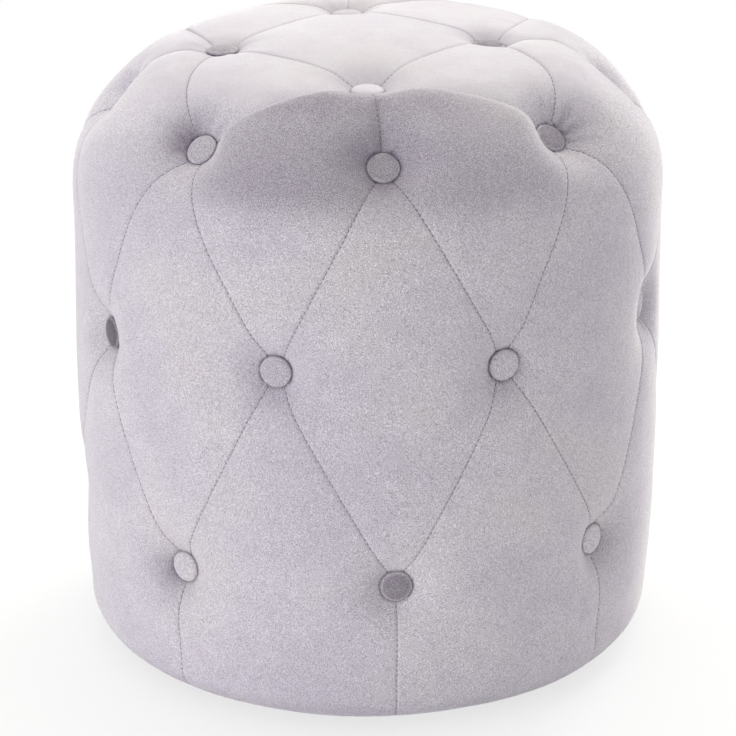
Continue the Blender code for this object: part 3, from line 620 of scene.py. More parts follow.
def meshFrom(name, points, faces):
    mesh = bpy.data.meshes.new(name)
    mesh.vertices.add(len(points))
    mesh.vertices.foreach_set("co", np.asarray(points, np.float32).ravel())
    mesh.loops.add(faces.size)
    mesh.loops.foreach_set("vertex_index", faces.ravel().astype(np.int32))
    mesh.polygons.add(len(faces))
    mesh.polygons.foreach_set("loop_start", np.arange(0, faces.size, faces.shape[1], dtype=np.int32))
    mesh.update(calc_edges=True)
    mesh.validate()
    mesh.shade_smooth()
    return mesh


def meshNormals(mesh):
    normals = np.zeros(len(mesh.vertices) * 3, np.float32)
    mesh.vertex_normals.foreach_get("vector", normals)
    return normals.reshape(-1, 3).astype(float)


def meshFromParts(name, points, faces):
    # A mesh from lists of points and of faces with any number of sides
    mesh = bpy.data.meshes.new(name)
    mesh.from_pydata([tuple(map(float, p)) for p in points], [], faces)
    mesh.shade_smooth()
    return mesh


def meshFromBm(name, bm):
    mesh = bpy.data.meshes.new(name)
    bm.to_mesh(mesh)
    bm.free()
    return mesh


def movePoints(mesh, points):
    mesh.vertices.foreach_set("co", points.astype(np.float32).ravel())
    mesh.update()


def onStool(obj, node=None):
    # The whole stool is one body
    if node:
        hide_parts(node)
    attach(obj, "root")


def applied(obj):
    # Makes the result of the object's modifiers its own mesh
    graph = bpy.context.evaluated_depsgraph_get()
    mesh = bpy.data.meshes.new_from_object(obj.evaluated_get(graph))
    obj.modifiers.clear()
    obj.data = mesh
    return mesh


# Cloth: the sewn lines and buttons hold while foam pressure fills the panels and slack wrinkles round
# the buttons

cloth = dict(
    frames=20, pressure=3.0, mass=0.12, tension=14.0, shear=4.0, bending=0.04, quality=6,
    slack=0.05, slackReach=0.028, cap=0.006,
    seamHold=0.85, seamReach=0.0004, buttonReach=0.0085, hemReach=0.012,
)


def relaxedCover(points):
    obj = newObject("cloth_cover", meshFrom("cloth_cover", points, gridFaces(cover["grids"])))
    held = obj.vertex_groups.new(name="held")
    loose = obj.vertex_groups.new(name="loose")
    hold = np.where(cover["seamAway"] < cloth["seamReach"], cloth["seamHold"], 0.0)
    hold = np.where(buttonAway < cloth["buttonReach"], 1.0, hold)
    hold = np.where(cover["spots"][:, 1] > filletEnd - cloth["hemReach"], 1.0, hold)
    slack = np.exp(-(buttonAway / cloth["slackReach"]) ** 2)
    for k in range(len(points)):
        if hold[k] > 0:
            held.add([k], float(hold[k]), "REPLACE")
        loose.add([k], float(slack[k]), "REPLACE")
    modifier = obj.modifiers.new("cloth", "CLOTH")
    settings = modifier.settings
    settings.quality = cloth["quality"]
    settings.mass = cloth["mass"]
    settings.tension_stiffness = settings.compression_stiffness = cloth["tension"]
    settings.shear_stiffness = cloth["shear"]
    settings.bending_stiffness = cloth["bending"]
    settings.use_pressure = True
    settings.uniform_pressure_force = cloth["pressure"]
    settings.vertex_group_mass = "held"
    settings.vertex_group_shrink = "loose"
    settings.shrink_min = 0.0
    settings.shrink_max = -cloth["slack"]
    settings.effector_weights.gravity = 0
    modifier.collision_settings.use_collision = False
    modifier.point_cache.frame_start = 1
    modifier.point_cache.frame_end = cloth["frames"]
    for step in range(1, cloth["frames"] + 1):
        scene.frame_set(step)
    settled = meshPoints(applied(obj))
    scene.frame_set(1)
    bpy.data.objects.remove(obj)
    move = settled - points
    far = np.linalg.norm(move, axis=1)
    most, middle = (round(1000 * float(value), 2) for value in (far.max(), far.mean()))
    print("cloth moved up to", most, "mm, mean", middle)
    return points + move * np.minimum(1, cloth["cap"] / np.maximum(far, 1e-9))[:, None]


coverPoints = relaxedCover(coverPoints)


# Finer cover: extra rows beside every seam, then one smoothing subdivision with the seams kept tight

fine = dict(
    seamRows=(0.0, 0.22, 0.55, 1.0), crease=0.75, hole=0.0038, fabric=0.0014,
    groove=0.0006, grooveReach=0.0012, lineReach=0.0006, seamPitch=0.0007,
    topLine=0.5, topLineHeights=(0.428, 0.440), levelFacing=(0.60, 0.92), levelHeights=(0.400, 0.425),
    rimOut=0.0003, rimReach=0.0008, rimHeight=0.020, hemStitches=0.0015,
)


def refinedNets(values):
    # Each patch's net of values, with the extra rows that the seams need
    steps = weave["steps"]
    rows = np.array([*fine["seamRows"], *range(2, steps + 1)], float)
    low = np.minimum(rows.astype(int), steps - 1)
    share = rows - low
    nets = values[cover["grids"]]
    down, across = share[None, :, None, None], share[None, None, :, None]
    nets = nets[:, low] * (1 - down) + nets[:, low + 1] * down
    return nets[:, :, low] * (1 - across) + nets[:, :, low + 1] * across


def edgeKeys(pairs, count):
    pairs = np.sort(pairs.reshape(-1, 2), axis=1)
    return pairs[:, 0] * count + pairs[:, 1]


def markCreases(mesh, pairs):
    ends = np.zeros(len(mesh.edges) * 2, np.int32)
    mesh.edges.foreach_get("vertices", ends)
    tight = np.isin(edgeKeys(ends.astype(np.int64), len(mesh.vertices)), edgeKeys(pairs, len(mesh.vertices)))
    crease = mesh.attributes.new("crease_edge", "FLOAT", "EDGE")
    crease.data.foreach_set("value", (tight * fine["crease"]).astype(np.float32))


def storeValues(mesh, name, values):
    layer = mesh.attributes.get(name) or mesh.attributes.new(name, "FLOAT", "POINT")
    layer.data.foreach_set("value", np.asarray(values, np.float32))


def evenSamples(line, pitch, start=0.0):
    # Points at an even pitch along a line, with the directions there
    lengths = np.concatenate([[0], np.cumsum(np.linalg.norm(np.diff(line, axis=0), axis=1))])
    places = np.arange(start, lengths[-1], pitch)

    def at(offset):
        return np.stack([np.interp(places + offset, lengths, line[:, k]) for k in range(3)], axis=1)

    run = at(pitch / 4) - at(-pitch / 4)
    return at(0), run / np.maximum(np.linalg.norm(run, axis=1), 1e-9)[:, None]


def halfSeams(points, grids):
    # Every seam as two lines, each from its middle to a button or to the hem
    lines, seen = [], set()
    for grid in grids:
        for line in (grid[:, 0], grid[0, :]):
            key = (int(line[0]), int(line[-1]))
            if key not in seen:
                seen.add(key)
                lines.append(points[line][::-1])
    return [line for line in lines if not (line[:, 2] < body["hemBottom"] + fine["hemStitches"]).all()]


# Painted shade over the front below its fold, strongest where the cover faces the front, plus a small random
# tone that differs from panel to panel

shadeAndTone = dict(
    shadedKinds=("kite", "diamond"), middle=math.radians(-3), power=2.6, lean=0.45, leanLimit=0.5,
    halfTurn=math.radians(48), frontHalfTurn=math.radians(68),
    heights=(0.366, 0.396), crest=0.40, crestHeights=(0.429, 0.441), others=(0.0, 0.08), seed=12,
)


def shadeAndToneValues(index, nets, count):
    def perPanel(values):
        return np.array(values)[cover["owners"]][:, None, None]

    draw = random.Random(shadeAndTone["seed"])
    own = perPanel([draw.uniform(*shadeAndTone["others"]) for _ in panels])
    strength = perPanel([float(panel["kind"] in shadeAndTone["shadedKinds"]) for panel in panels])
    wide = perPanel([shadeAndTone["frontHalfTurn" if isFrontKite(panel) else "halfTurn"] for panel in panels])
    turn = nearestTurn(np.arctan2(nets[..., 0], -nets[..., 1]), 0.0) - shadeAndTone["middle"]
    facing = np.exp(-np.abs(turn / wide) ** shadeAndTone["power"] * 2)
    strength = strength * (1 - shadeAndTone["lean"] * np.clip(turn, -shadeAndTone["leanLimit"], shadeAndTone["leanLimit"]))
    strength = strength * (1 + shadeAndTone["crest"] * smoothStep(nets[..., 2], *shadeAndTone["crestHeights"]))
    value = own + (1 - own) * strength * facing * smoothStep(nets[..., 2], *shadeAndTone["heights"])
    return np.bincount(index, value.ravel(), count) / np.bincount(index, minlength=count)


# Painted shade in the dimple round each button, darkest to one side: direction in degrees from the right,
# and strength
dimpleShadeSides = dict(
    start=0.010, reach=0.015, power=1.5, depth=0.045, allRound=0.06, facingPower=3.2,
    ridge=0.35, ridgeHeight=0.0036, usual=(265, 0.30),
    crown_button_1=(100, 0.25), crown_button_2=(60, 0.30), crown_button_4=(130, 0.40),
    shoulder_button_1=(262, 0.75), shoulder_button_2=(-8, 1.25), shoulder_button_7=(265, 0.0),
    shoulder_button_8=(168, 2.00), waist_button_1=(275, 0.42), waist_button_2=(-25, 0.7),
    waist_button_8=(250, 0.42), skirt_button_1=(265, 0.15), skirt_button_2=(-40, 0.80),
    skirt_button_8=(216, 1.25),
)


def dimpleShade(points, raised):
    # The gathers' ridges get a little less of the painted shade
    shade = np.zeros(len(points))
    for k, name in enumerate(buttonNames):
        turn, strength = dimpleShadeSides.get(name, dimpleShadeSides["usual"])
        right, up, axis = buttonFrame(k)
        offset = points - coverTips[k]
        across, along = offset @ right, offset @ up
        away = np.hypot(across, along)
        facing = 0.5 + 0.5 * np.cos(np.arctan2(along, across) - math.radians(turn))
        facing = dimpleShadeSides["allRound"] + (1 - dimpleShadeSides["allRound"]) * facing ** dimpleShadeSides["facingPower"]
        close = np.exp(-(np.maximum(away - dimpleShadeSides["start"], 0) / dimpleShadeSides["reach"]) ** dimpleShadeSides["power"])
        close = close * (np.abs(offset @ axis) < dimpleShadeSides["depth"])
        shade = np.maximum(shade, strength * close * facing)
    return shade * (1 - dimpleShadeSides["ridge"] * np.clip(raised / dimpleShadeSides["ridgeHeight"], 0, 1))


def besideButton(points):
    # Distance from the axis of the nearest button
    nearest = toNearest(points, coverTips)[0]
    offset = points - coverTips[nearest]
    height = np.sum(offset * buttonAxes[nearest], axis=1)
    aside = np.linalg.norm(offset - height[:, None] * buttonAxes[nearest], axis=1)
    return np.where(np.abs(height) < fine["rimHeight"], aside, 1.0)


def makeCover():
    nets = refinedNets(coverPoints)
    flat = nets.reshape(-1, 3)
    first, index = weldKeys(flat)
    index = index.reshape(-1)
    grids = index.reshape(nets.shape[:3])
    mesh = meshFrom("velvet_cover", flat[first], gridFaces(grids))
    # Painted shade over the front below the fold, with a small random tone per panel
    storeValues(mesh, "shadeAndTone", shadeAndToneValues(index, nets, len(first)))
    seams = [np.stack([line[:, :-1], line[:, 1:]], axis=-1) for line in (grids[:, :, 0], grids[:, 0])]
    markCreases(mesh, np.concatenate(seams))
    lines = halfSeams(flat[first], grids)

    obj = newObject("tufted_velvet_cover", mesh)
    smooth = obj.modifiers.new("smooth", "SUBSURF")
    smooth.levels = smooth.render_levels = 1
    smooth.boundary_smooth = "PRESERVE_CORNERS"
    mesh = applied(obj)

    samples = np.concatenate([evenSamples(line, fine["seamPitch"])[0] for line in lines])
    seamTree = KDTree(len(samples))
    for k, point in enumerate(samples):
        seamTree.insert(point, k)
    seamTree.balance()
    points, normals = meshPoints(mesh), meshNormals(mesh)
    away = np.array([seamTree.find(point)[2] for point in points])
    groove = fine["groove"] * np.exp(-(away / fine["grooveReach"]) ** 2)
    raised = gatherHeight(points)
    points += normals * (raised - groove)[:, None]
    movePoints(mesh, points)
    aside = besideButton(points)
    height, facingUp = points[:, 2], meshNormals(mesh)[:, 2]
    faint = 1 - (1 - fine["topLine"]) * smoothStep(height, *fine["topLineHeights"])
    level = smoothStep(facingUp, *fine["levelFacing"]) * smoothStep(height, *fine["levelHeights"])
    fromRim = (aside - buttonForm["radius"] - fine["rimOut"]) / fine["rimReach"]
    # Painted shade: a thin dark line along each seam, fainter on the crown, the dimple shade round each
    # button, and a thin ring of painted contact shadow at each button's rim
    storeValues(mesh, "seamLine", faint * np.exp(-(away / fine["lineReach"]) ** 2))
    storeValues(mesh, "level", level)
    storeValues(mesh, "dimple", dimpleShade(points, raised))
    storeValues(mesh, "rim", np.exp(-fromRim ** 2))

    bm = bmesh.new()
    bm.from_mesh(mesh)
    bm.verts.ensure_lookup_table()
    inside = [bm.verts[int(k)] for k in np.nonzero(aside < fine["hole"])[0]]
    bmesh.ops.delete(bm, geom=inside, context="VERTS")
    bm.to_mesh(mesh)
    bm.free()
    mesh.shade_smooth()
    return obj, lines


# Buttons: pressed velvet caps on twisted twine, each tied off with a knot behind the frame

def turnedMesh(name, rings, sides, ripple=None):
    # A closed solid turned about Z from (radius, height) rings; the first and last ring are single points
    angles = 2 * math.pi * np.arange(sides) / sides
    points, faces = [(0, 0, rings[0][1])], []
    for k, (radius, height) in enumerate(rings[1:-1]):
        reach = radius * (1 + (ripple(k, angles, height) if ripple else 0 * angles))
        points.extend(zip(reach * np.cos(angles), reach * np.sin(angles), [height] * sides))
    points.append((0, 0, rings[-1][1]))
    last = len(points) - 1  # the far tip
    for i in range(sides):
        j = (i + 1) % sides
        faces.append((0, 1 + i, 1 + j))
        for k in range(len(rings) - 3):
            a, b = 1 + k * sides, 1 + (k + 1) * sides
            faces.append((a + i, b + i, b + j, a + j))
        faces.append((last - sides + i, last, last - sides + j))
    return meshFromParts(name, points, faces)


def buttonMesh(name, twineLength, draw):
    form = buttonForm
    dome = []
    for k in range(form["domeRings"] + 1):
        turn = math.pi / 2 * k / form["domeRings"]
        across = math.sin(turn) ** (2 / form["bulge"]) if k else 0.0
        up = max(math.cos(turn), 0.0) ** (2 / form["bulge"])
        dome.append((form["radius"] * across, form["rim"] + (form["dome"] - form["rim"]) * up))
    under = [(form["radius"] * across, form["rim"] * up) for across, up in form["tuck"]]
    neck = twineLength - form["knotRadius"]
    twine = [(form["twineRadius"], -z) for z in np.arange(form["twineStart"], neck, form["twineStep"])]
    knot = []
    for k in range(1, form["knotRings"]):
        turn = math.pi * k / form["knotRings"]
        up = form["knotRadius"] * math.cos(turn)
        knot.append((form["knotRadius"] * math.sin(turn), up - twineLength))
    end = [(0.0, -twineLength - form["knotRadius"])]
    rings = [*dome, *under, *form["plate"], *twine, *knot, *end]
    capEnd, twineEnd = len(dome) + len(under) + len(form["plate"]), len(rings) - len(knot) - 1
    phase = draw.uniform(0, 6)

    def ripple(k, angles, height):
        # Pleats in the cap's rim, two strands in the twine, three turns in the knot
        ring = k + 1
        if ring < capEnd:
            strength = smoothStep(ring, len(dome) - 3, len(dome) + 1)
            wave = form["pleats"] * angles + phase + np.sin(form["pleatDrift"] * angles)
            return form["pleatDepth"] * strength * np.cos(wave)
        if ring < twineEnd:
            return form["lay"] * np.cos(2 * angles + height * form["twist"])
        return form["knotLay"] * np.cos(form["knotTurns"] * angles + form["knotTwist"] * height)
    return turnedMesh(name, rings, form["sides"], ripple)


def makeButtons(capFinish, twineFinish):
    form = buttonForm
    draw = random.Random(form["seed"])
    for k, name in enumerate(buttonNames):
        axis, tip, seat = buttonAxes[k], coverTips[k], buttonSeats[k]
        twineLength = seat - buttonReach(k)[0] - form["knotRadius"]
        mesh = buttonMesh(name, twineLength, draw)
        turn = Vector(axis).to_track_quat("Z", "Y").to_matrix().to_4x4()
        tilt = Matrix.Rotation(draw.uniform(0, 2 * math.pi), 4, "Z")
        hiddenCapTone = draw.uniform(0, 1)
        points = meshPoints(mesh)
        height = points[:, 2]
        edge = smoothStep(np.hypot(points[:, 0], points[:, 1]) / form["radius"], *form["edge"])
        # Per cap: its painted shade (a random tone on hidden caps), painted light (positive) and painted
        # shade (negative) over the whole cap, a painted highlight along its rim, and a painted shadow low on
        # its side where it tucks into the cover
        values = dict(
            shadeAndTone=capShadeAndTone.get(name, hiddenCapTone), paintedLightShade=capPaintedLightShade.get(name, 0.0),
            level=smoothStep(axis[2], *form["level"]),
            edge=edge * (height > form["rim"] * form["edgeHeight"]),
            tuck=1 - smoothStep(height, form["rim"] * form["tuckHeight"], form["rim"]),
        )
        for layer, value in values.items():
            storeValues(mesh, layer, value * np.ones(len(points)))
        mesh.transform(Matrix.Translation(tip + axis * seat) @ turn @ tilt)
        obj = newObject(name + "_covered", mesh)
        mesh.materials.append(capFinish)
        mesh.materials.append(twineFinish)
        heights = (meshPoints(mesh) - tip) @ axis - seat
        for face in mesh.polygons:
            face.material_index = int(heights[list(face.vertices)].max() < -form["underCap"])
        onStool(obj, name)


# Stitches: short bars of thread pulled into each seam

stitch = dict(
    pitch=0.0040, length=0.0025, width=0.00034, sink=0.00012, rimGap=0.0112, hemGap=0.001, sides=6,
    taper=((-0.5, 0.25), (-0.36, 1.0), (0.36, 1.0), (0.5, 0.25)), faint=(0.434, 0.444),
)


def stitchBar():
    # One stitch along X, as its points and its faces
    sides, rings = stitch["sides"], stitch["taper"]
    turns = 2 * math.pi * np.arange(sides) / sides
    points = np.array([(along * stitch["length"], math.cos(turn) * wide * stitch["width"],
                        math.sin(turn) * wide * stitch["width"]) for along, wide in rings for turn in turns])
    faces = []
    for r in range(len(rings) - 1):
        for i in range(sides):
            a, b = r * sides + i, r * sides + (i + 1) % sides
            faces.append((a, b, b + sides, a + sides))
    faces += [tuple(range(sides))[::-1], tuple(range((len(rings) - 1) * sides, len(rings) * sides))]
    return points, faces


def makeStitches(lines, surface, finish):
    mesh = surface.data
    tree = BVHTree.FromPolygons([v.co for v in mesh.vertices], [p.vertices for p in mesh.polygons])
    bar, barFaces = stitchBar()
    points, faces = [], []
    for line in lines:
        spots, runs = evenSamples(line, stitch["pitch"], stitch["pitch"] / 2)
        for spot, run in zip(spots, runs):
            if np.min(np.linalg.norm(coverTips - spot, axis=1)) < stitch["rimGap"]:
                continue
            place, normal = tree.find_nearest(Vector(spot))[:2]
            if place.z < body["hemBottom"] + stitch["hemGap"]:
                continue
            along = Vector(run)
            across = normal.cross(along).normalized()
            up = along.cross(across).normalized()
            start = len(points)
            points.extend(bar @ np.array([along, across, up]) + np.array(place - normal * stitch["sink"]))
            faces.extend(tuple(start + v for v in face) for face in barFaces)
    mesh = meshFromParts("seam_stitches", points, faces)
    storeValues(mesh, "faint", smoothStep(meshPoints(mesh)[:, 2], *stitch["faint"]))
    mesh.materials.append(finish)
    onStool(newObject("seam_stitches", mesh))
    return len(faces) // len(barFaces)


# Foam: the space inside the cover, cut by the frame and drilled for the twine

foam = dict(
    gap=0.0006, frameTop=0.379, wallRadius=0.162, clearance=0.0003, sides=96, sharp=math.radians(40),
    drill=0.0026, drillSides=12, drillDepth=0.045, drillLength=0.12,
    reach=0.5, overTop=0.4, underBase=0.1, coreEnds=(-0.2, 0.6),
)


def addRod(bm, turn, middle, radius, length, sides):
    bmesh.ops.create_cone(bm, cap_ends=True, segments=sides, radius1=radius, radius2=radius, depth=length,
                          matrix=Matrix.Translation(middle) @ turn)


def uprightCutter(name, radius, bottom, top):
    bm = bmesh.new()
    addRod(bm, Matrix.Identity(4), (0, 0, (bottom + top) / 2), radius, top - bottom, foam["sides"])
    return newObject(name, meshFromBm(name, bm))


def twineDrills():
    bm = bmesh.new()
    for axis, tip in zip(map(Vector, buttonAxes), map(Vector, coverTips)):
        turn = axis.to_track_quat("Z", "Y").to_matrix().to_4x4()
        middle = tip - axis * foam["drillDepth"]
        addRod(bm, turn, middle, foam["drill"], foam["drillLength"], foam["drillSides"])
    return newObject("twine_drills", meshFromBm("twine_drills", bm))


def foamBlock():
    # The cover's inner side, closed under the base
    mesh = meshFrom("foam_block", coverPoints, gridFaces(cover["grids"]))
    inset = fine["fabric"] + fine["groove"] + foam["gap"]
    movePoints(mesh, meshPoints(mesh) - meshNormals(mesh) * inset)
    bm = bmesh.new()
    bm.from_mesh(mesh)
    rim = [edge for edge in bm.edges if edge.is_boundary]
    bmesh.ops.holes_fill(bm, edges=rim, sides=0)
    bmesh.ops.recalc_face_normals(bm, faces=bm.faces)
    bm.to_mesh(mesh)
    bm.free()
    mesh.update()
    return mesh


def makeFoam(finish):
    block = foamBlock()
    reach, top, slack = foam["reach"], foam["frameTop"], foam["clearance"]
    below = uprightCutter("below_top_pad", reach, -foam["underBase"], top + slack)
    above = uprightCutter("above_side_wrap", reach, top - slack, top - slack + foam["overTop"])
    core = uprightCutter("frame_space", foam["wallRadius"] + slack, *foam["coreEnds"])
    bores = twineDrills()
    for name, cutters in (("top_foam", (below, bores)), ("side_foam", (core, above, bores))):
        pad = newObject(name + "_pad", block.copy())
        for cutter in cutters:
            cut = pad.modifiers.new("cut", "BOOLEAN")
            cut.operation = "DIFFERENCE"
            cut.solver = "MANIFOLD"
            cut.object = cutter
        applied(pad)
        pad.data.materials.clear()
        pad.data.materials.append(finish)
        pad.data.shade_smooth()
        pad.data.set_sharp_from_angle(angle=foam["sharp"])
        onStool(pad, name)
    for cutter in (below, above, core, bores):
        bpy.data.objects.remove(cutter)


# Underside: stretched dust cover with a folded edge, its staples, and nail-on glides

dustCloth = dict(
    bottom=0.0063, thickness=0.00064, radius=0.1657, fold=0.012, foldRise=0.00045, foldFrom=0.97,
    foldRings=(0.96, 0.5, 0.1, 0.0), rings=34, sides=128,
    sag=0.0016, sagStart=0.104, pucker=0.00025, puckerFrom=(0.10, 0.15),
)
staple = dict(
    count=44, ring=0.1585, size=(0.0100, 0.0012, 0.0005), seed=8,
    spacing=0.16, offLine=0.0012, turn=0.22, sink=0.45, bevel=0.0002,
)


def makeDustCover(finish):
    # A polar net, thickened upwards, whose folded edge lies a little lower
    cloth = dustCloth
    flat = cloth["radius"] - cloth["fold"]
    folded = cloth["radius"] - cloth["fold"] * np.array(cloth["foldRings"])
    radii = np.concatenate([np.linspace(0.0, flat, cloth["rings"]), folded])[1:]
    sides = cloth["sides"]
    angles = 2 * math.pi * np.arange(sides) / sides
    points, faces = [(0.0, 0.0, cloth["bottom"] - cloth["sag"])], []
    for r in radii:
        sag = cloth["sag"] * (1 - smoothStep(r, 0.0, cloth["sagStart"]))
        fold = cloth["foldRise"] * float(r > cloth["radius"] - cloth["fold"] * cloth["foldFrom"])
        pull = cloth["pucker"] * smoothStep(r, *cloth["puckerFrom"]) * (np.cos(staple["count"] * angles) - 1)
        points.extend(zip(r * np.sin(angles), -r * np.cos(angles), cloth["bottom"] - sag - fold + pull))
    for i in range(sides):
        j = (i + 1) % sides
        faces.append((0, 1 + j, 1 + i))
        for k in range(len(radii) - 1):
            a, b = 1 + k * sides, 1 + (k + 1) * sides
            faces.append((a + i, a + j, b + j, b + i))
    obj = newObject("dust_cover_cloth", meshFromParts("dust_cover", points, faces))
    shell = obj.modifiers.new("thickness", "SOLIDIFY")
    shell.thickness = cloth["thickness"]
    shell.offset = -1.0
    applied(obj)
    obj.data.materials.append(finish)
    onStool(obj, "dust_cover")


def makeStaples(finish):
    draw = random.Random(staple["seed"])
    long, wide, thick = staple["size"]
    bm = bmesh.new()
    for i in range(staple["count"]):
        angle = 2 * math.pi * (i + draw.uniform(-staple["spacing"], staple["spacing"])) / staple["count"]
        radius = staple["ring"] + draw.uniform(-staple["offLine"], staple["offLine"])
        spot = Vector((math.sin(angle), -math.cos(angle), 0)) * radius
        spot.z = dustCloth["bottom"] - dustCloth["foldRise"] - dustCloth["pucker"] - thick * staple["sink"]
        turn = Matrix.Rotation(angle + draw.uniform(-staple["turn"], staple["turn"]), 4, "Z")
        size = Matrix.Diagonal((long, wide, thick, 1))
        bmesh.ops.create_cube(bm, size=1, matrix=Matrix.Translation(spot) @ turn @ size)
    obj = newObject("dust_cover_staples", meshFromBm("dust_cover_staples", bm))
    edges = obj.modifiers.new("edges", "BEVEL")
    edges.width = staple["bevel"]
    edges.segments = 2
    mesh = applied(obj)
    mesh.shade_smooth()
    mesh.materials.append(finish)
    onStool(obj)


glide = dict(
    radius=0.0110, sole=0.0080, height=0.0060, chamfer=0.0020, nail=0.0016, nailLength=0.013,
    nailFoot=(1.3, 0.0002), rim=((1.0, 0.0), (0.6, 0.0001), (0.2, 0.0006)), taper=(0.0003, 0.0028),
    soleEdge=((0.0011, 0.0009), (0.0003, 0.0002), (-0.0006, 0.0)),
    dish=((0.0046, 0.0), (0.0042, 0.0004), (0.0034, 0.0004), (0.0030, 0.0002), (0.0, 0.0002)),
    count=4, sides=56, sharp=math.radians(50), steelAbove=0.0001,
)


def glideRings():
    # From the nail's tip down to the dished sole, as (radius, height)
    radius, height, nail = glide["radius"], glide["height"], glide["nail"]
    tip = height + glide["nailLength"]
    flare, rise = glide["nailFoot"]
    inward, down = glide["taper"]
    return [
        (0, tip + nail), (nail, tip), (nail, height + rise), (nail * flare, height),
        *((radius - share * glide["chamfer"], height - drop) for share, drop in glide["rim"]),
        (radius, height - glide["chamfer"]), (radius - inward, height - down),
        *((glide["sole"] + past, up) for past, up in glide["soleEdge"]), *glide["dish"],
    ]


def makeGlides(nylonFinish, steelFinish):
    for i in range(glide["count"]):
        name = f"glide_{i + 1}"
        mesh = turnedMesh(name, glideRings(), glide["sides"])
        low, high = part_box(name)
        mesh.transform(Matrix.Translation(((low.x + high.x) / 2, (low.y + high.y) / 2, low.z)))
        obj = newObject(name + "_moulded", mesh)
        mesh.set_sharp_from_angle(angle=glide["sharp"])
        mesh.materials.append(nylonFinish)
        mesh.materials.append(steelFinish)
        for face in mesh.polygons:
            face.material_index = int(face.center.z > glide["height"] + glide["steelAbove"])
        onStool(obj, name)


# Shader maths


class Wire:
    # One socket of a node tree. Sums of wires and numbers add Math nodes.
    def __init__(self, tree, socket=None):
        self.tree = tree
        self.socket = socket

    def node(self, kind, settings=None, sockets=None, output=0):
        made = self.tree.nodes.new(kind)
        for name, value in (settings or {}).items():
            setattr(made, name, value)
        for name, value in (sockets or {}).items():
            if isinstance(value, Wire):
                self.tree.links.new(value.socket, made.inputs[name])
            else:
                made.inputs[name].default_value = value
        return Wire(self.tree, made.outputs[output] if made.outputs else None)

    def maths(self, operation, first, second=0.0):
        return self.node("ShaderNodeMath", dict(operation=operation), {0: first, 1: second})

    def __add__(self, other):
        return self.maths("ADD", self, other)

    def __radd__(self, other):
        return self.maths("ADD", other, self)

    def __sub__(self, other):
        return self.maths("SUBTRACT", self, other)

    def __rsub__(self, other):
        return self.maths("SUBTRACT", other, self)

    def __mul__(self, other):
        return self.maths("MULTIPLY", self, other)

    def __rmul__(self, other):
        return self.maths("MULTIPLY", other, self)

    def __truediv__(self, other):
        return self.maths("DIVIDE", self, other)

    def __rtruediv__(self, other):
        return self.maths("DIVIDE", other, self)


def objectPlace(wire):
    return wire.node("ShaderNodeTexCoord", output="Object")


def startFinish(name):
    made = bpy.data.materials.new(name)
    made.use_nodes = True
    made.node_tree.nodes.clear()
    wire = Wire(made.node_tree)
    return made, wire, objectPlace(wire)


def noiseOf(wire, place, size, detail=2.0, rough=0.5, distortion=0.0):
    # Fractal noise with features of about that size, in metres
    sockets = dict(Vector=place, Scale=1 / size, Detail=detail, Roughness=rough, Distortion=distortion)
    return wire.node("ShaderNodeTexNoise", None, sockets, "Fac")


def stretched(wire, place, scale):
    return wire.node("ShaderNodeVectorMath", dict(operation="MULTIPLY"), {0: place, 1: scale})


def mixed(wire, share, first, second):
    colours = [colour if isinstance(colour, Wire) else (*colour, 1) for colour in (first, second)]
    settings = dict(data_type="RGBA", clamp_factor=True)
    return wire.node("ShaderNodeMix", settings, {0: share, 6: colours[0], 7: colours[1]}, 2)


def spread(wire, value, low, high, toLow=0.0, toHigh=1.0):
    sockets = {"Value": value, "From Min": low, "From Max": high, "To Min": toLow, "To Max": toHigh}
    return wire.node("ShaderNodeMapRange", dict(clamp=True, interpolation_type="SMOOTHSTEP"), sockets)


# Most values of a noise lie between these
noiseRange = (0.30, 0.70)


def bumped(wire, height, distance, strength):
    return wire.node("ShaderNodeBump", None, dict(Strength=strength, Distance=distance, Height=height))


def stored(wire, name):
    return wire.node("ShaderNodeAttribute", dict(attribute_name=name), output="Fac")


def closeFinish(made, wire, **sockets):
    named = {name.replace("_", " "): value for name, value in sockets.items()}
    shader = wire.node("ShaderNodeBsdfPrincipled", None, named)
    wire.node("ShaderNodeOutputMaterial", None, dict(Surface=shader))
    return made


# The cloth's own tones are the light, mid and warm colours. The other dark colours paint shade: over the
# cover's front band and dimples, over the caps, and as the seam lines and the shadows round and under the
# buttons
velvet = dict(
    light=(0.618, 0.582, 0.644), mid=(0.552, 0.516, 0.586), shade=(0.280, 0.252, 0.306),
    crease=(0.17, 0.15, 0.20), warm=(0.606, 0.575, 0.590), capShadeTone=(0.205, 0.180, 0.218),
    grain=dict(size=0.00055, detail=3.0, rough=0.65), nap=dict(size=0.018, detail=2.5, distortion=0.6),
    patch=dict(size=0.085), fuzz=dict(size=0.004), fuzzShare=1.5,
    patchShare=0.6, toneRange=(0.34, 0.66), warmRange=(0.5, 0.75, 0.0, 0.6),
    shadeNoiseShare=0.35, shadeNoiseRange=(0.30, 0.85, 0.75, 1.0), grainStrength=1.15, grainDip=0.52, topGrain=0.25,
    paintedShadeShare=0.65, capRimHighlight=0.7, dimpleShade=0.66, tuckShade=0.9, lineShade=0.14, rimShade=0.9,
    roughness=(0.80, 0.94), bump=0.00035, bumpStrength=0.55,
    sheen=0.90, capSheen=0.35, sheenRoughness=0.30, sheenTint=(1.0, 0.98, 1.0, 1), specular=0.25,
)


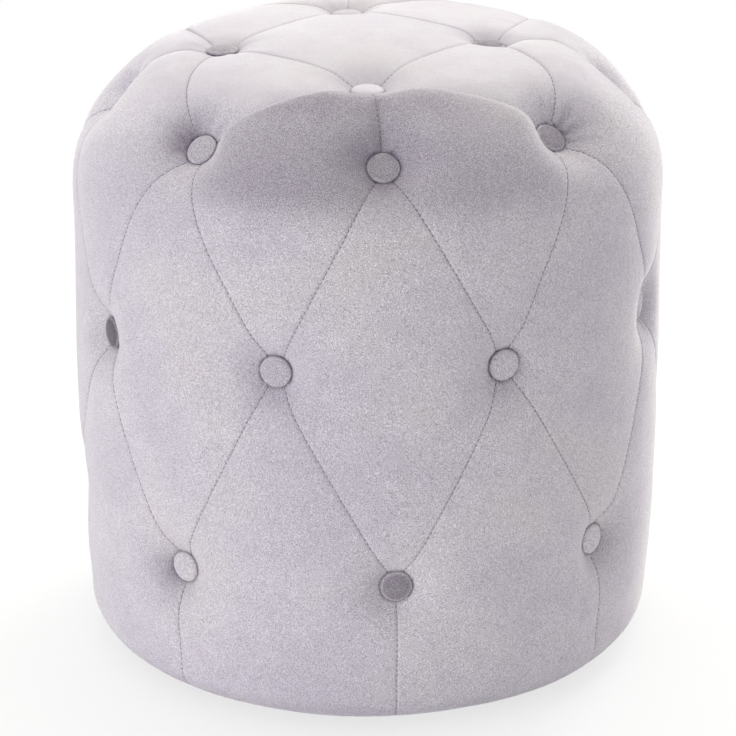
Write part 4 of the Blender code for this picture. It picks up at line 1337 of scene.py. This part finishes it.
def velvetFinish(name, onButton=False):
    v = velvet
    made, wire, place = startFinish(name)
    grain, nap, patch, fuzz = (noiseOf(wire, place, **v[part]) for part in ("grain", "nap", "patch", "fuzz"))
    tone = v["patchShare"] * patch + (1 - v["patchShare"]) * nap
    colour = mixed(wire, spread(wire, tone, *v["toneRange"]), v["mid"], v["light"])
    colour = mixed(wire, spread(wire, patch, *v["warmRange"]), colour, v["warm"])
    # Painted shade over the front below the fold and the small random panel tone, broken up by noise
    dark = v["paintedShadeShare"] * stored(wire, "shadeAndTone")
    dark = dark * spread(wire, nap + v["shadeNoiseShare"] * patch, *v["shadeNoiseRange"])
    calm = stored(wire, "level") * (1 - stored(wire, "shadeAndTone"))
    strength = v["grainStrength"] * (1 - (1 - v["topGrain"]) * calm)
    speck = 1 + strength * (spread(wire, grain, *noiseRange) - v["grainDip"])
    if onButton:
        # Caps: a painted highlight along the rim clears the painted shade there, a painted shadow runs low
        # on the side where the cap tucks into the cover, and painted light and shade lie over whole caps
        dark = dark * (1 - v["capRimHighlight"] * stored(wire, "edge"))
        line = v["tuckShade"] * stored(wire, "tuck")
        speck = speck * (1 + stored(wire, "paintedLightShade"))
    else:
        # Cover: painted shade in the button dimples, a painted shade line along the seams and a ring of
        # painted contact shadow round each button
        dark = dark + v["dimpleShade"] * stored(wire, "dimple")
        line = v["lineShade"] * stored(wire, "seamLine") + v["rimShade"] * stored(wire, "rim")
    colour = mixed(wire, dark, colour, v["capShadeTone" if onButton else "shade"])
    colour = mixed(wire, line, colour, v["crease"])
    colour = wire.node("ShaderNodeVectorMath", dict(operation="SCALE"), {"Vector": colour, "Scale": speck})
    return closeFinish(
        made, wire, Base_Color=colour, Roughness=spread(wire, grain, *noiseRange, *v["roughness"]),
        Normal=bumped(wire, grain + v["fuzzShare"] * fuzz, v["bump"], v["bumpStrength"]),
        Specular_IOR_Level=v["specular"], Sheen_Weight=v["capSheen" if onButton else "sheen"],
        Sheen_Roughness=v["sheenRoughness"], Sheen_Tint=v["sheenTint"])


threadLook = dict(fibre=dict(size=0.0006, detail=3.0, rough=0.6), dark=0.72, roughness=0.78,
                  bump=0.0001, bumpStrength=0.5)


def threadFinish(name, colour, crownTint=None):
    look = threadLook
    made, wire, place = startFinish(name)
    fibre = noiseOf(wire, place, **look["fibre"])
    tint = mixed(wire, spread(wire, fibre, *noiseRange), [look["dark"] * c for c in colour], colour)
    # Stitches on the crown take a lighter colour
    if crownTint:
        tint = mixed(wire, stored(wire, "faint"), tint, crownTint)
    return closeFinish(made, wire, Base_Color=tint, Roughness=look["roughness"],
                       Normal=bumped(wire, fibre, look["bump"], look["bumpStrength"]))


foamLook = dict(
    pale=(0.86, 0.79, 0.57), deep=(0.80, 0.72, 0.47), pore=(0.55, 0.46, 0.26),
    cells=700.0, poreWall=0.25, poreShare=0.35, cloud=dict(size=0.05, detail=3.0), cloudRange=(0.35, 0.65),
    roughness=0.92, bump=0.0006, bumpStrength=0.7,
)


def foamFinish(name):
    look = foamLook
    made, wire, place = startFinish(name)
    cells = wire.node("ShaderNodeTexVoronoi", dict(feature="DISTANCE_TO_EDGE"),
                      dict(Vector=place, Scale=look["cells"]), "Distance")
    pores = spread(wire, cells, 0.0, look["poreWall"])
    cloud = spread(wire, noiseOf(wire, place, **look["cloud"]), *look["cloudRange"])
    colour = mixed(wire, cloud, look["deep"], look["pale"])
    colour = mixed(wire, look["poreShare"] * pores, colour, look["pore"])
    return closeFinish(made, wire, Base_Color=colour, Roughness=look["roughness"],
                       Normal=bumped(wire, 1 - pores, look["bump"], look["bumpStrength"]))


woodLook = dict(
    streaks=dict(size=0.010, detail=5.0, rough=0.6, distortion=0.8),
    pores=dict(size=0.004, detail=3.0, rough=0.7), poreStretch=2.5, poreRange=(0.55, 0.75),
    poreShare=0.35, poreDark=0.45, facing=(0.4, 0.8), glueRange=(0.42, 0.58), glueShare=0.55, glueDark=0.40,
    roughness=(0.62, 0.78), poreDepth=0.5, bump=0.0004, bumpStrength=0.5,
)


def woodFinish(name, pale, dark, grainScale, plies=0.0):
    look = woodLook
    made, wire, place = startFinish(name)
    streaks = noiseOf(wire, stretched(wire, place, grainScale), **look["streaks"])
    fine = stretched(wire, place, [look["poreStretch"] * g for g in grainScale])
    pores = noiseOf(wire, fine, **look["pores"])
    colour = mixed(wire, spread(wire, streaks, *noiseRange), pale, dark)
    colour = mixed(wire, look["poreShare"] * spread(wire, pores, *look["poreRange"]), colour,
                   [look["poreDark"] * c for c in dark])
    if plies:
        # Glue lines between the plies, on the edges only
        height = wire.node("ShaderNodeSeparateXYZ", None, dict(Vector=place), "Z")
        normal = wire.node("ShaderNodeNewGeometry", output="Normal")
        facing = wire.node("ShaderNodeSeparateXYZ", None, dict(Vector=normal), "Z")
        edge = spread(wire, 1 - wire.maths("ABSOLUTE", facing), *look["facing"])
        glue = edge * spread(wire, wire.maths("PINGPONG", height, plies) / plies, *look["glueRange"])
        colour = mixed(wire, look["glueShare"] * glue, colour, [look["glueDark"] * c for c in dark])
    return closeFinish(
        made, wire, Base_Color=colour, Roughness=spread(wire, pores, *noiseRange, *look["roughness"]),
        Normal=bumped(wire, streaks + look["poreDepth"] * pores, look["bump"], look["bumpStrength"]))


hardboardLook = dict(
    dark=(0.155, 0.080, 0.040), light=(0.30, 0.175, 0.095), cloudy=(0.24, 0.15, 0.09),
    fibres=dict(size=0.0022, detail=5.0, rough=0.7, distortion=1.2), fibreRange=(0.35, 0.65),
    flatten=(1.0, 1.0, 0.35), cloud=dict(size=0.04), cloudRange=(0.4, 0.7), cloudShare=0.3,
    roughness=(0.55, 0.75), bump=0.0002, bumpStrength=0.6,
)


def hardboardFinish(name):
    look = hardboardLook
    made, wire, place = startFinish(name)
    fibres = noiseOf(wire, stretched(wire, place, look["flatten"]), **look["fibres"])
    cloud = spread(wire, noiseOf(wire, place, **look["cloud"]), *look["cloudRange"])
    colour = mixed(wire, spread(wire, fibres, *look["fibreRange"]), look["dark"], look["light"])
    colour = mixed(wire, look["cloudShare"] * cloud, colour, look["cloudy"])
    return closeFinish(made, wire, Base_Color=colour,
                       Roughness=spread(wire, fibres, *noiseRange, *look["roughness"]),
                       Normal=bumped(wire, fibres, look["bump"], look["bumpStrength"]))


zincLook = dict(
    dull=(0.62, 0.61, 0.58), bright=(0.78, 0.77, 0.73), spangle=420.0, spangleRange=(0.2, 0.8),
    haze=dict(size=0.0025, detail=4.0, rough=0.6), hazeShare=0.4,
    roughness=(0.28, 0.46), bump=0.00005, bumpStrength=0.4,
)


def zincFinish(name):
    look = zincLook
    made, wire, place = startFinish(name)
    spangle = wire.node("ShaderNodeTexVoronoi", None, dict(Vector=place, Scale=look["spangle"]), "Distance")
    haze = noiseOf(wire, place, **look["haze"])
    share = spread(wire, spangle + look["hazeShare"] * haze, *look["spangleRange"])
    return closeFinish(made, wire, Base_Color=mixed(wire, share, look["dull"], look["bright"]), Metallic=1.0,
                       Roughness=spread(wire, haze, *noiseRange, *look["roughness"]),
                       Normal=bumped(wire, haze, look["bump"], look["bumpStrength"]))


nonwovenLook = dict(
    dark=(0.012, 0.012, 0.014), light=(0.035, 0.035, 0.038), bonded=(0.006, 0.006, 0.007),
    bonds=620.0, bondDrift=0.12, bondRange=(0.18, 0.34), bondShare=0.5, flatten=(1.0, 1.0, 0.02),
    fibres=dict(size=0.0012, detail=4.0, rough=0.7, distortion=2.0), comb=(1.0, 3.0, 1.0),
    roughness=(0.88, 0.55), bondDepth=0.8, bump=0.0003, bumpStrength=0.6,
)


def nonwovenFinish(name):
    look = nonwovenLook
    made, wire, place = startFinish(name)
    grid = dict(Vector=stretched(wire, place, look["flatten"]), Scale=look["bonds"],
                Randomness=look["bondDrift"])
    bond = wire.node("ShaderNodeTexVoronoi", dict(distance="CHEBYCHEV"), grid, "Distance")
    bonded = 1 - spread(wire, bond, *look["bondRange"])
    fibres = noiseOf(wire, stretched(wire, place, look["comb"]), **look["fibres"])
    colour = mixed(wire, spread(wire, fibres, *noiseRange), look["dark"], look["light"])
    colour = mixed(wire, look["bondShare"] * bonded, colour, look["bonded"])
    return closeFinish(
        made, wire, Base_Color=colour, Roughness=spread(wire, bonded, 0.0, 1.0, *look["roughness"]),
        Normal=bumped(wire, fibres - look["bondDepth"] * bonded, look["bump"], look["bumpStrength"]))


nylonLook = dict(
    clean=(0.014, 0.014, 0.015), scuffed=(0.045, 0.045, 0.045),
    mould=dict(size=0.0016, detail=4.0, rough=0.6),
    scuff=dict(size=0.004, detail=3.0, rough=0.6), scuffRun=(1.0, 6.0, 1.0), scuffRange=(0.55, 0.75),
    scuffShare=0.4, dullRange=(0.4, 0.9), roughness=(0.34, 0.55), bump=0.00008, bumpStrength=0.5,
)


def nylonFinish(name):
    look = nylonLook
    made, wire, place = startFinish(name)
    mould = noiseOf(wire, place, **look["mould"])
    scuff = noiseOf(wire, stretched(wire, place, look["scuffRun"]), **look["scuff"])
    colour = mixed(wire, spread(wire, scuff, *look["scuffRange"]), look["clean"], look["scuffed"])
    dull = spread(wire, mould + look["scuffShare"] * scuff, *look["dullRange"], *look["roughness"])
    return closeFinish(made, wire, Base_Color=colour, Roughness=dull,
                       Normal=bumped(wire, mould, look["bump"], look["bumpStrength"]))


finishes = dict(
    velvet=velvetFinish("lavender_velvet"),
    buttonVelvet=velvetFinish("button_velvet", onButton=True),
    thread=threadFinish("sewing_thread", (0.17, 0.155, 0.195), crownTint=(0.42, 0.39, 0.44)),
    twine=threadFinish("waxed_twine", (0.62, 0.58, 0.50)),
    foam=foamFinish("upholstery_foam"),
    plywood=woodFinish("birch_plywood", (0.66, 0.50, 0.31), (0.50, 0.34, 0.18), (1.0, 0.16, 1.0),
                       plies=0.0016),
    pine=woodFinish("sawn_pine", (0.74, 0.56, 0.34), (0.56, 0.36, 0.17), (1.0, 1.0, 0.12)),
    hardboard=hardboardFinish("bent_hardboard"),
    zinc=zincFinish("zinc_plated_steel"),
    nonwoven=nonwovenFinish("black_nonwoven"),
    nylon=nylonFinish("black_nylon"),
)
print("finishes ready:", len(finishes))


# Making and dressing

velvetCover, seamLines = makeCover()
stitchCount = makeStitches(seamLines, velvetCover, finishes["thread"])
velvetCover.data.materials.append(finishes["velvet"])
thickness = velvetCover.modifiers.new("fabric", "SOLIDIFY")
thickness.thickness = fine["fabric"]
thickness.offset = -1.0
applied(velvetCover)
onStool(velvetCover, "velvet_cover")
print("cover:", len(velvetCover.data.polygons), "faces,", stitchCount, "stitches")

makeButtons(finishes["buttonVelvet"], finishes["twine"])
makeFoam(finishes["foam"])
makeDustCover(finishes["nonwoven"])
makeStaples(finishes["zinc"])
makeGlides(finishes["nylon"], finishes["zinc"])
print("buttons, foam and underside made")

# The frame's own solids keep their shapes
frameFinishes = dict(top_board="plywood", base_ring="plywood", hardboard_wall="hardboard", post="pine",
                     top_screw="zinc", base_screw="zinc")
for name, node in cadNodes.items():
    for start, finish in frameFinishes.items():
        if name.startswith(start):
            for slot in node.material_slots:
                slot.material = finishes[finish]
print("frame dressed")


# Studio: white floor that keeps a soft shadow, even light from all round, a soft box above, one at the
# left and two behind, and a narrow faint one on the lower left of the front

studio = dict(
    floorReach=9.0, floorColour=(0.90, 0.90, 0.905, 1), whiteShare=0.72, whiteFrom=(0.5, 1.3),
    world=0.60, worldColour=(0.985, 0.985, 1.0, 1), white=(1, 1, 1, 1),
)
lamps = dict(
    top=dict(place=(0.15, 0.60, 2.3), aim=(0, 0, 0.40), size=1.7, power=30, colour=(1.0, 0.995, 0.82)),
    left=dict(place=(-2.2, -1.4, 0.40), aim=(0, 0, 0.12), size=1.2, power=24, colour=(0.985, 0.97, 1.0)),
    right=dict(place=(1.7, 2.2, 1.05), aim=(0, 0, 0.22), size=1.2, power=51, colour=(1.0, 0.98, 0.94)),
    behind=dict(place=(-1.7, 2.2, 0.8), aim=(0, 0, 0.22), size=1.2, power=13, colour=(1.0, 0.99, 0.97)),
    low=dict(place=(-1.45, -1.25, 0.30), aim=(-0.09, -0.19, 0.0), size=0.3, power=0.044,
             colour=(0.99, 0.97, 1.0), beam=17),
)


def seenAs(wire, *rays):
    # 1 where one of these kinds of ray arrives, else 0
    seen = wire.node("ShaderNodeLightPath", output=rays[0])
    for ray in rays[1:]:
        seen = wire.maths("MAXIMUM", seen, wire.node("ShaderNodeLightPath", output=ray))
    return seen


def makeFloor():
    reach = studio["floorReach"]
    corners = np.array([[-reach, -reach, 0], [reach, -reach, 0], [reach, reach, 0], [-reach, reach, 0]])
    obj = newObject("studio_floor", meshFrom("studio_floor", corners, np.array([[0, 1, 2, 3]])))
    made, wire, place = startFinish("studio_floor")
    white = wire.node("ShaderNodeEmission", None, dict(Color=studio["white"], Strength=1.0))
    paper = wire.node("ShaderNodeBsdfDiffuse", None, dict(Color=studio["floorColour"], Roughness=0.0))
    away = wire.node("ShaderNodeVectorMath", dict(operation="LENGTH"), dict(Vector=place), "Value")
    share = seenAs(wire, "Is Camera Ray", "Is Glossy Ray") * spread(
        wire, away, *studio["whiteFrom"], studio["whiteShare"], 1.0)
    surface = wire.node("ShaderNodeMixShader", None, {0: share, 1: paper, 2: white})
    wire.node("ShaderNodeOutputMaterial", None, dict(Surface=surface))
    obj.data.materials.append(made)


def makeWorld():
    scene.world = bpy.data.worlds.new("studio")
    scene.world.use_nodes = True
    scene.world.node_tree.nodes.clear()
    wire = Wire(scene.world.node_tree)
    seen = seenAs(wire, "Is Camera Ray", "Is Glossy Ray", "Is Transmission Ray")
    soft, white = (
        wire.node("ShaderNodeBackground", None, dict(Color=colour, Strength=strength))
        for colour, strength in ((studio["worldColour"], studio["world"]), (studio["white"], 1.0)))
    surface = wire.node("ShaderNodeMixShader", None, {0: seen, 1: soft, 2: white})
    wire.node("ShaderNodeOutputWorld", None, dict(Surface=surface))


def makeLamps():
    for name, lamp in lamps.items():
        light = bpy.data.lights.new(name, "AREA")
        light.shape = "SQUARE"
        light.size = lamp["size"]
        light.energy = lamp["power"]
        light.color = lamp["colour"]
        light.spread = math.radians(lamp.get("beam", 180))
        obj = newObject(name + "_softbox", light)
        obj.location = lamp["place"]
        way = Vector(lamp["aim"]) - Vector(lamp["place"])
        obj.rotation_euler = way.to_track_quat("-Z", "Y").to_euler()


# Camera fitted to the silhouette and the button places

lens = dict(distance=1.968, height=0.9757, azimuth=-4.612, pitch=21.66, focal=140.75, sensor=36)


def makeCamera():
    camera = newObject("camera", bpy.data.cameras.new("camera"))
    camera.data.lens = lens["focal"]
    camera.data.sensor_width = lens["sensor"]
    turn = math.radians(lens["azimuth"])
    camera.location = (math.sin(turn) * lens["distance"], -math.cos(turn) * lens["distance"], lens["height"])
    camera.rotation_euler = (math.radians(90 - lens["pitch"]), 0, turn)
    scene.camera = camera


makeFloor()
makeWorld()
makeLamps()
makeCamera()
scene.view_settings.view_transform = "Standard"
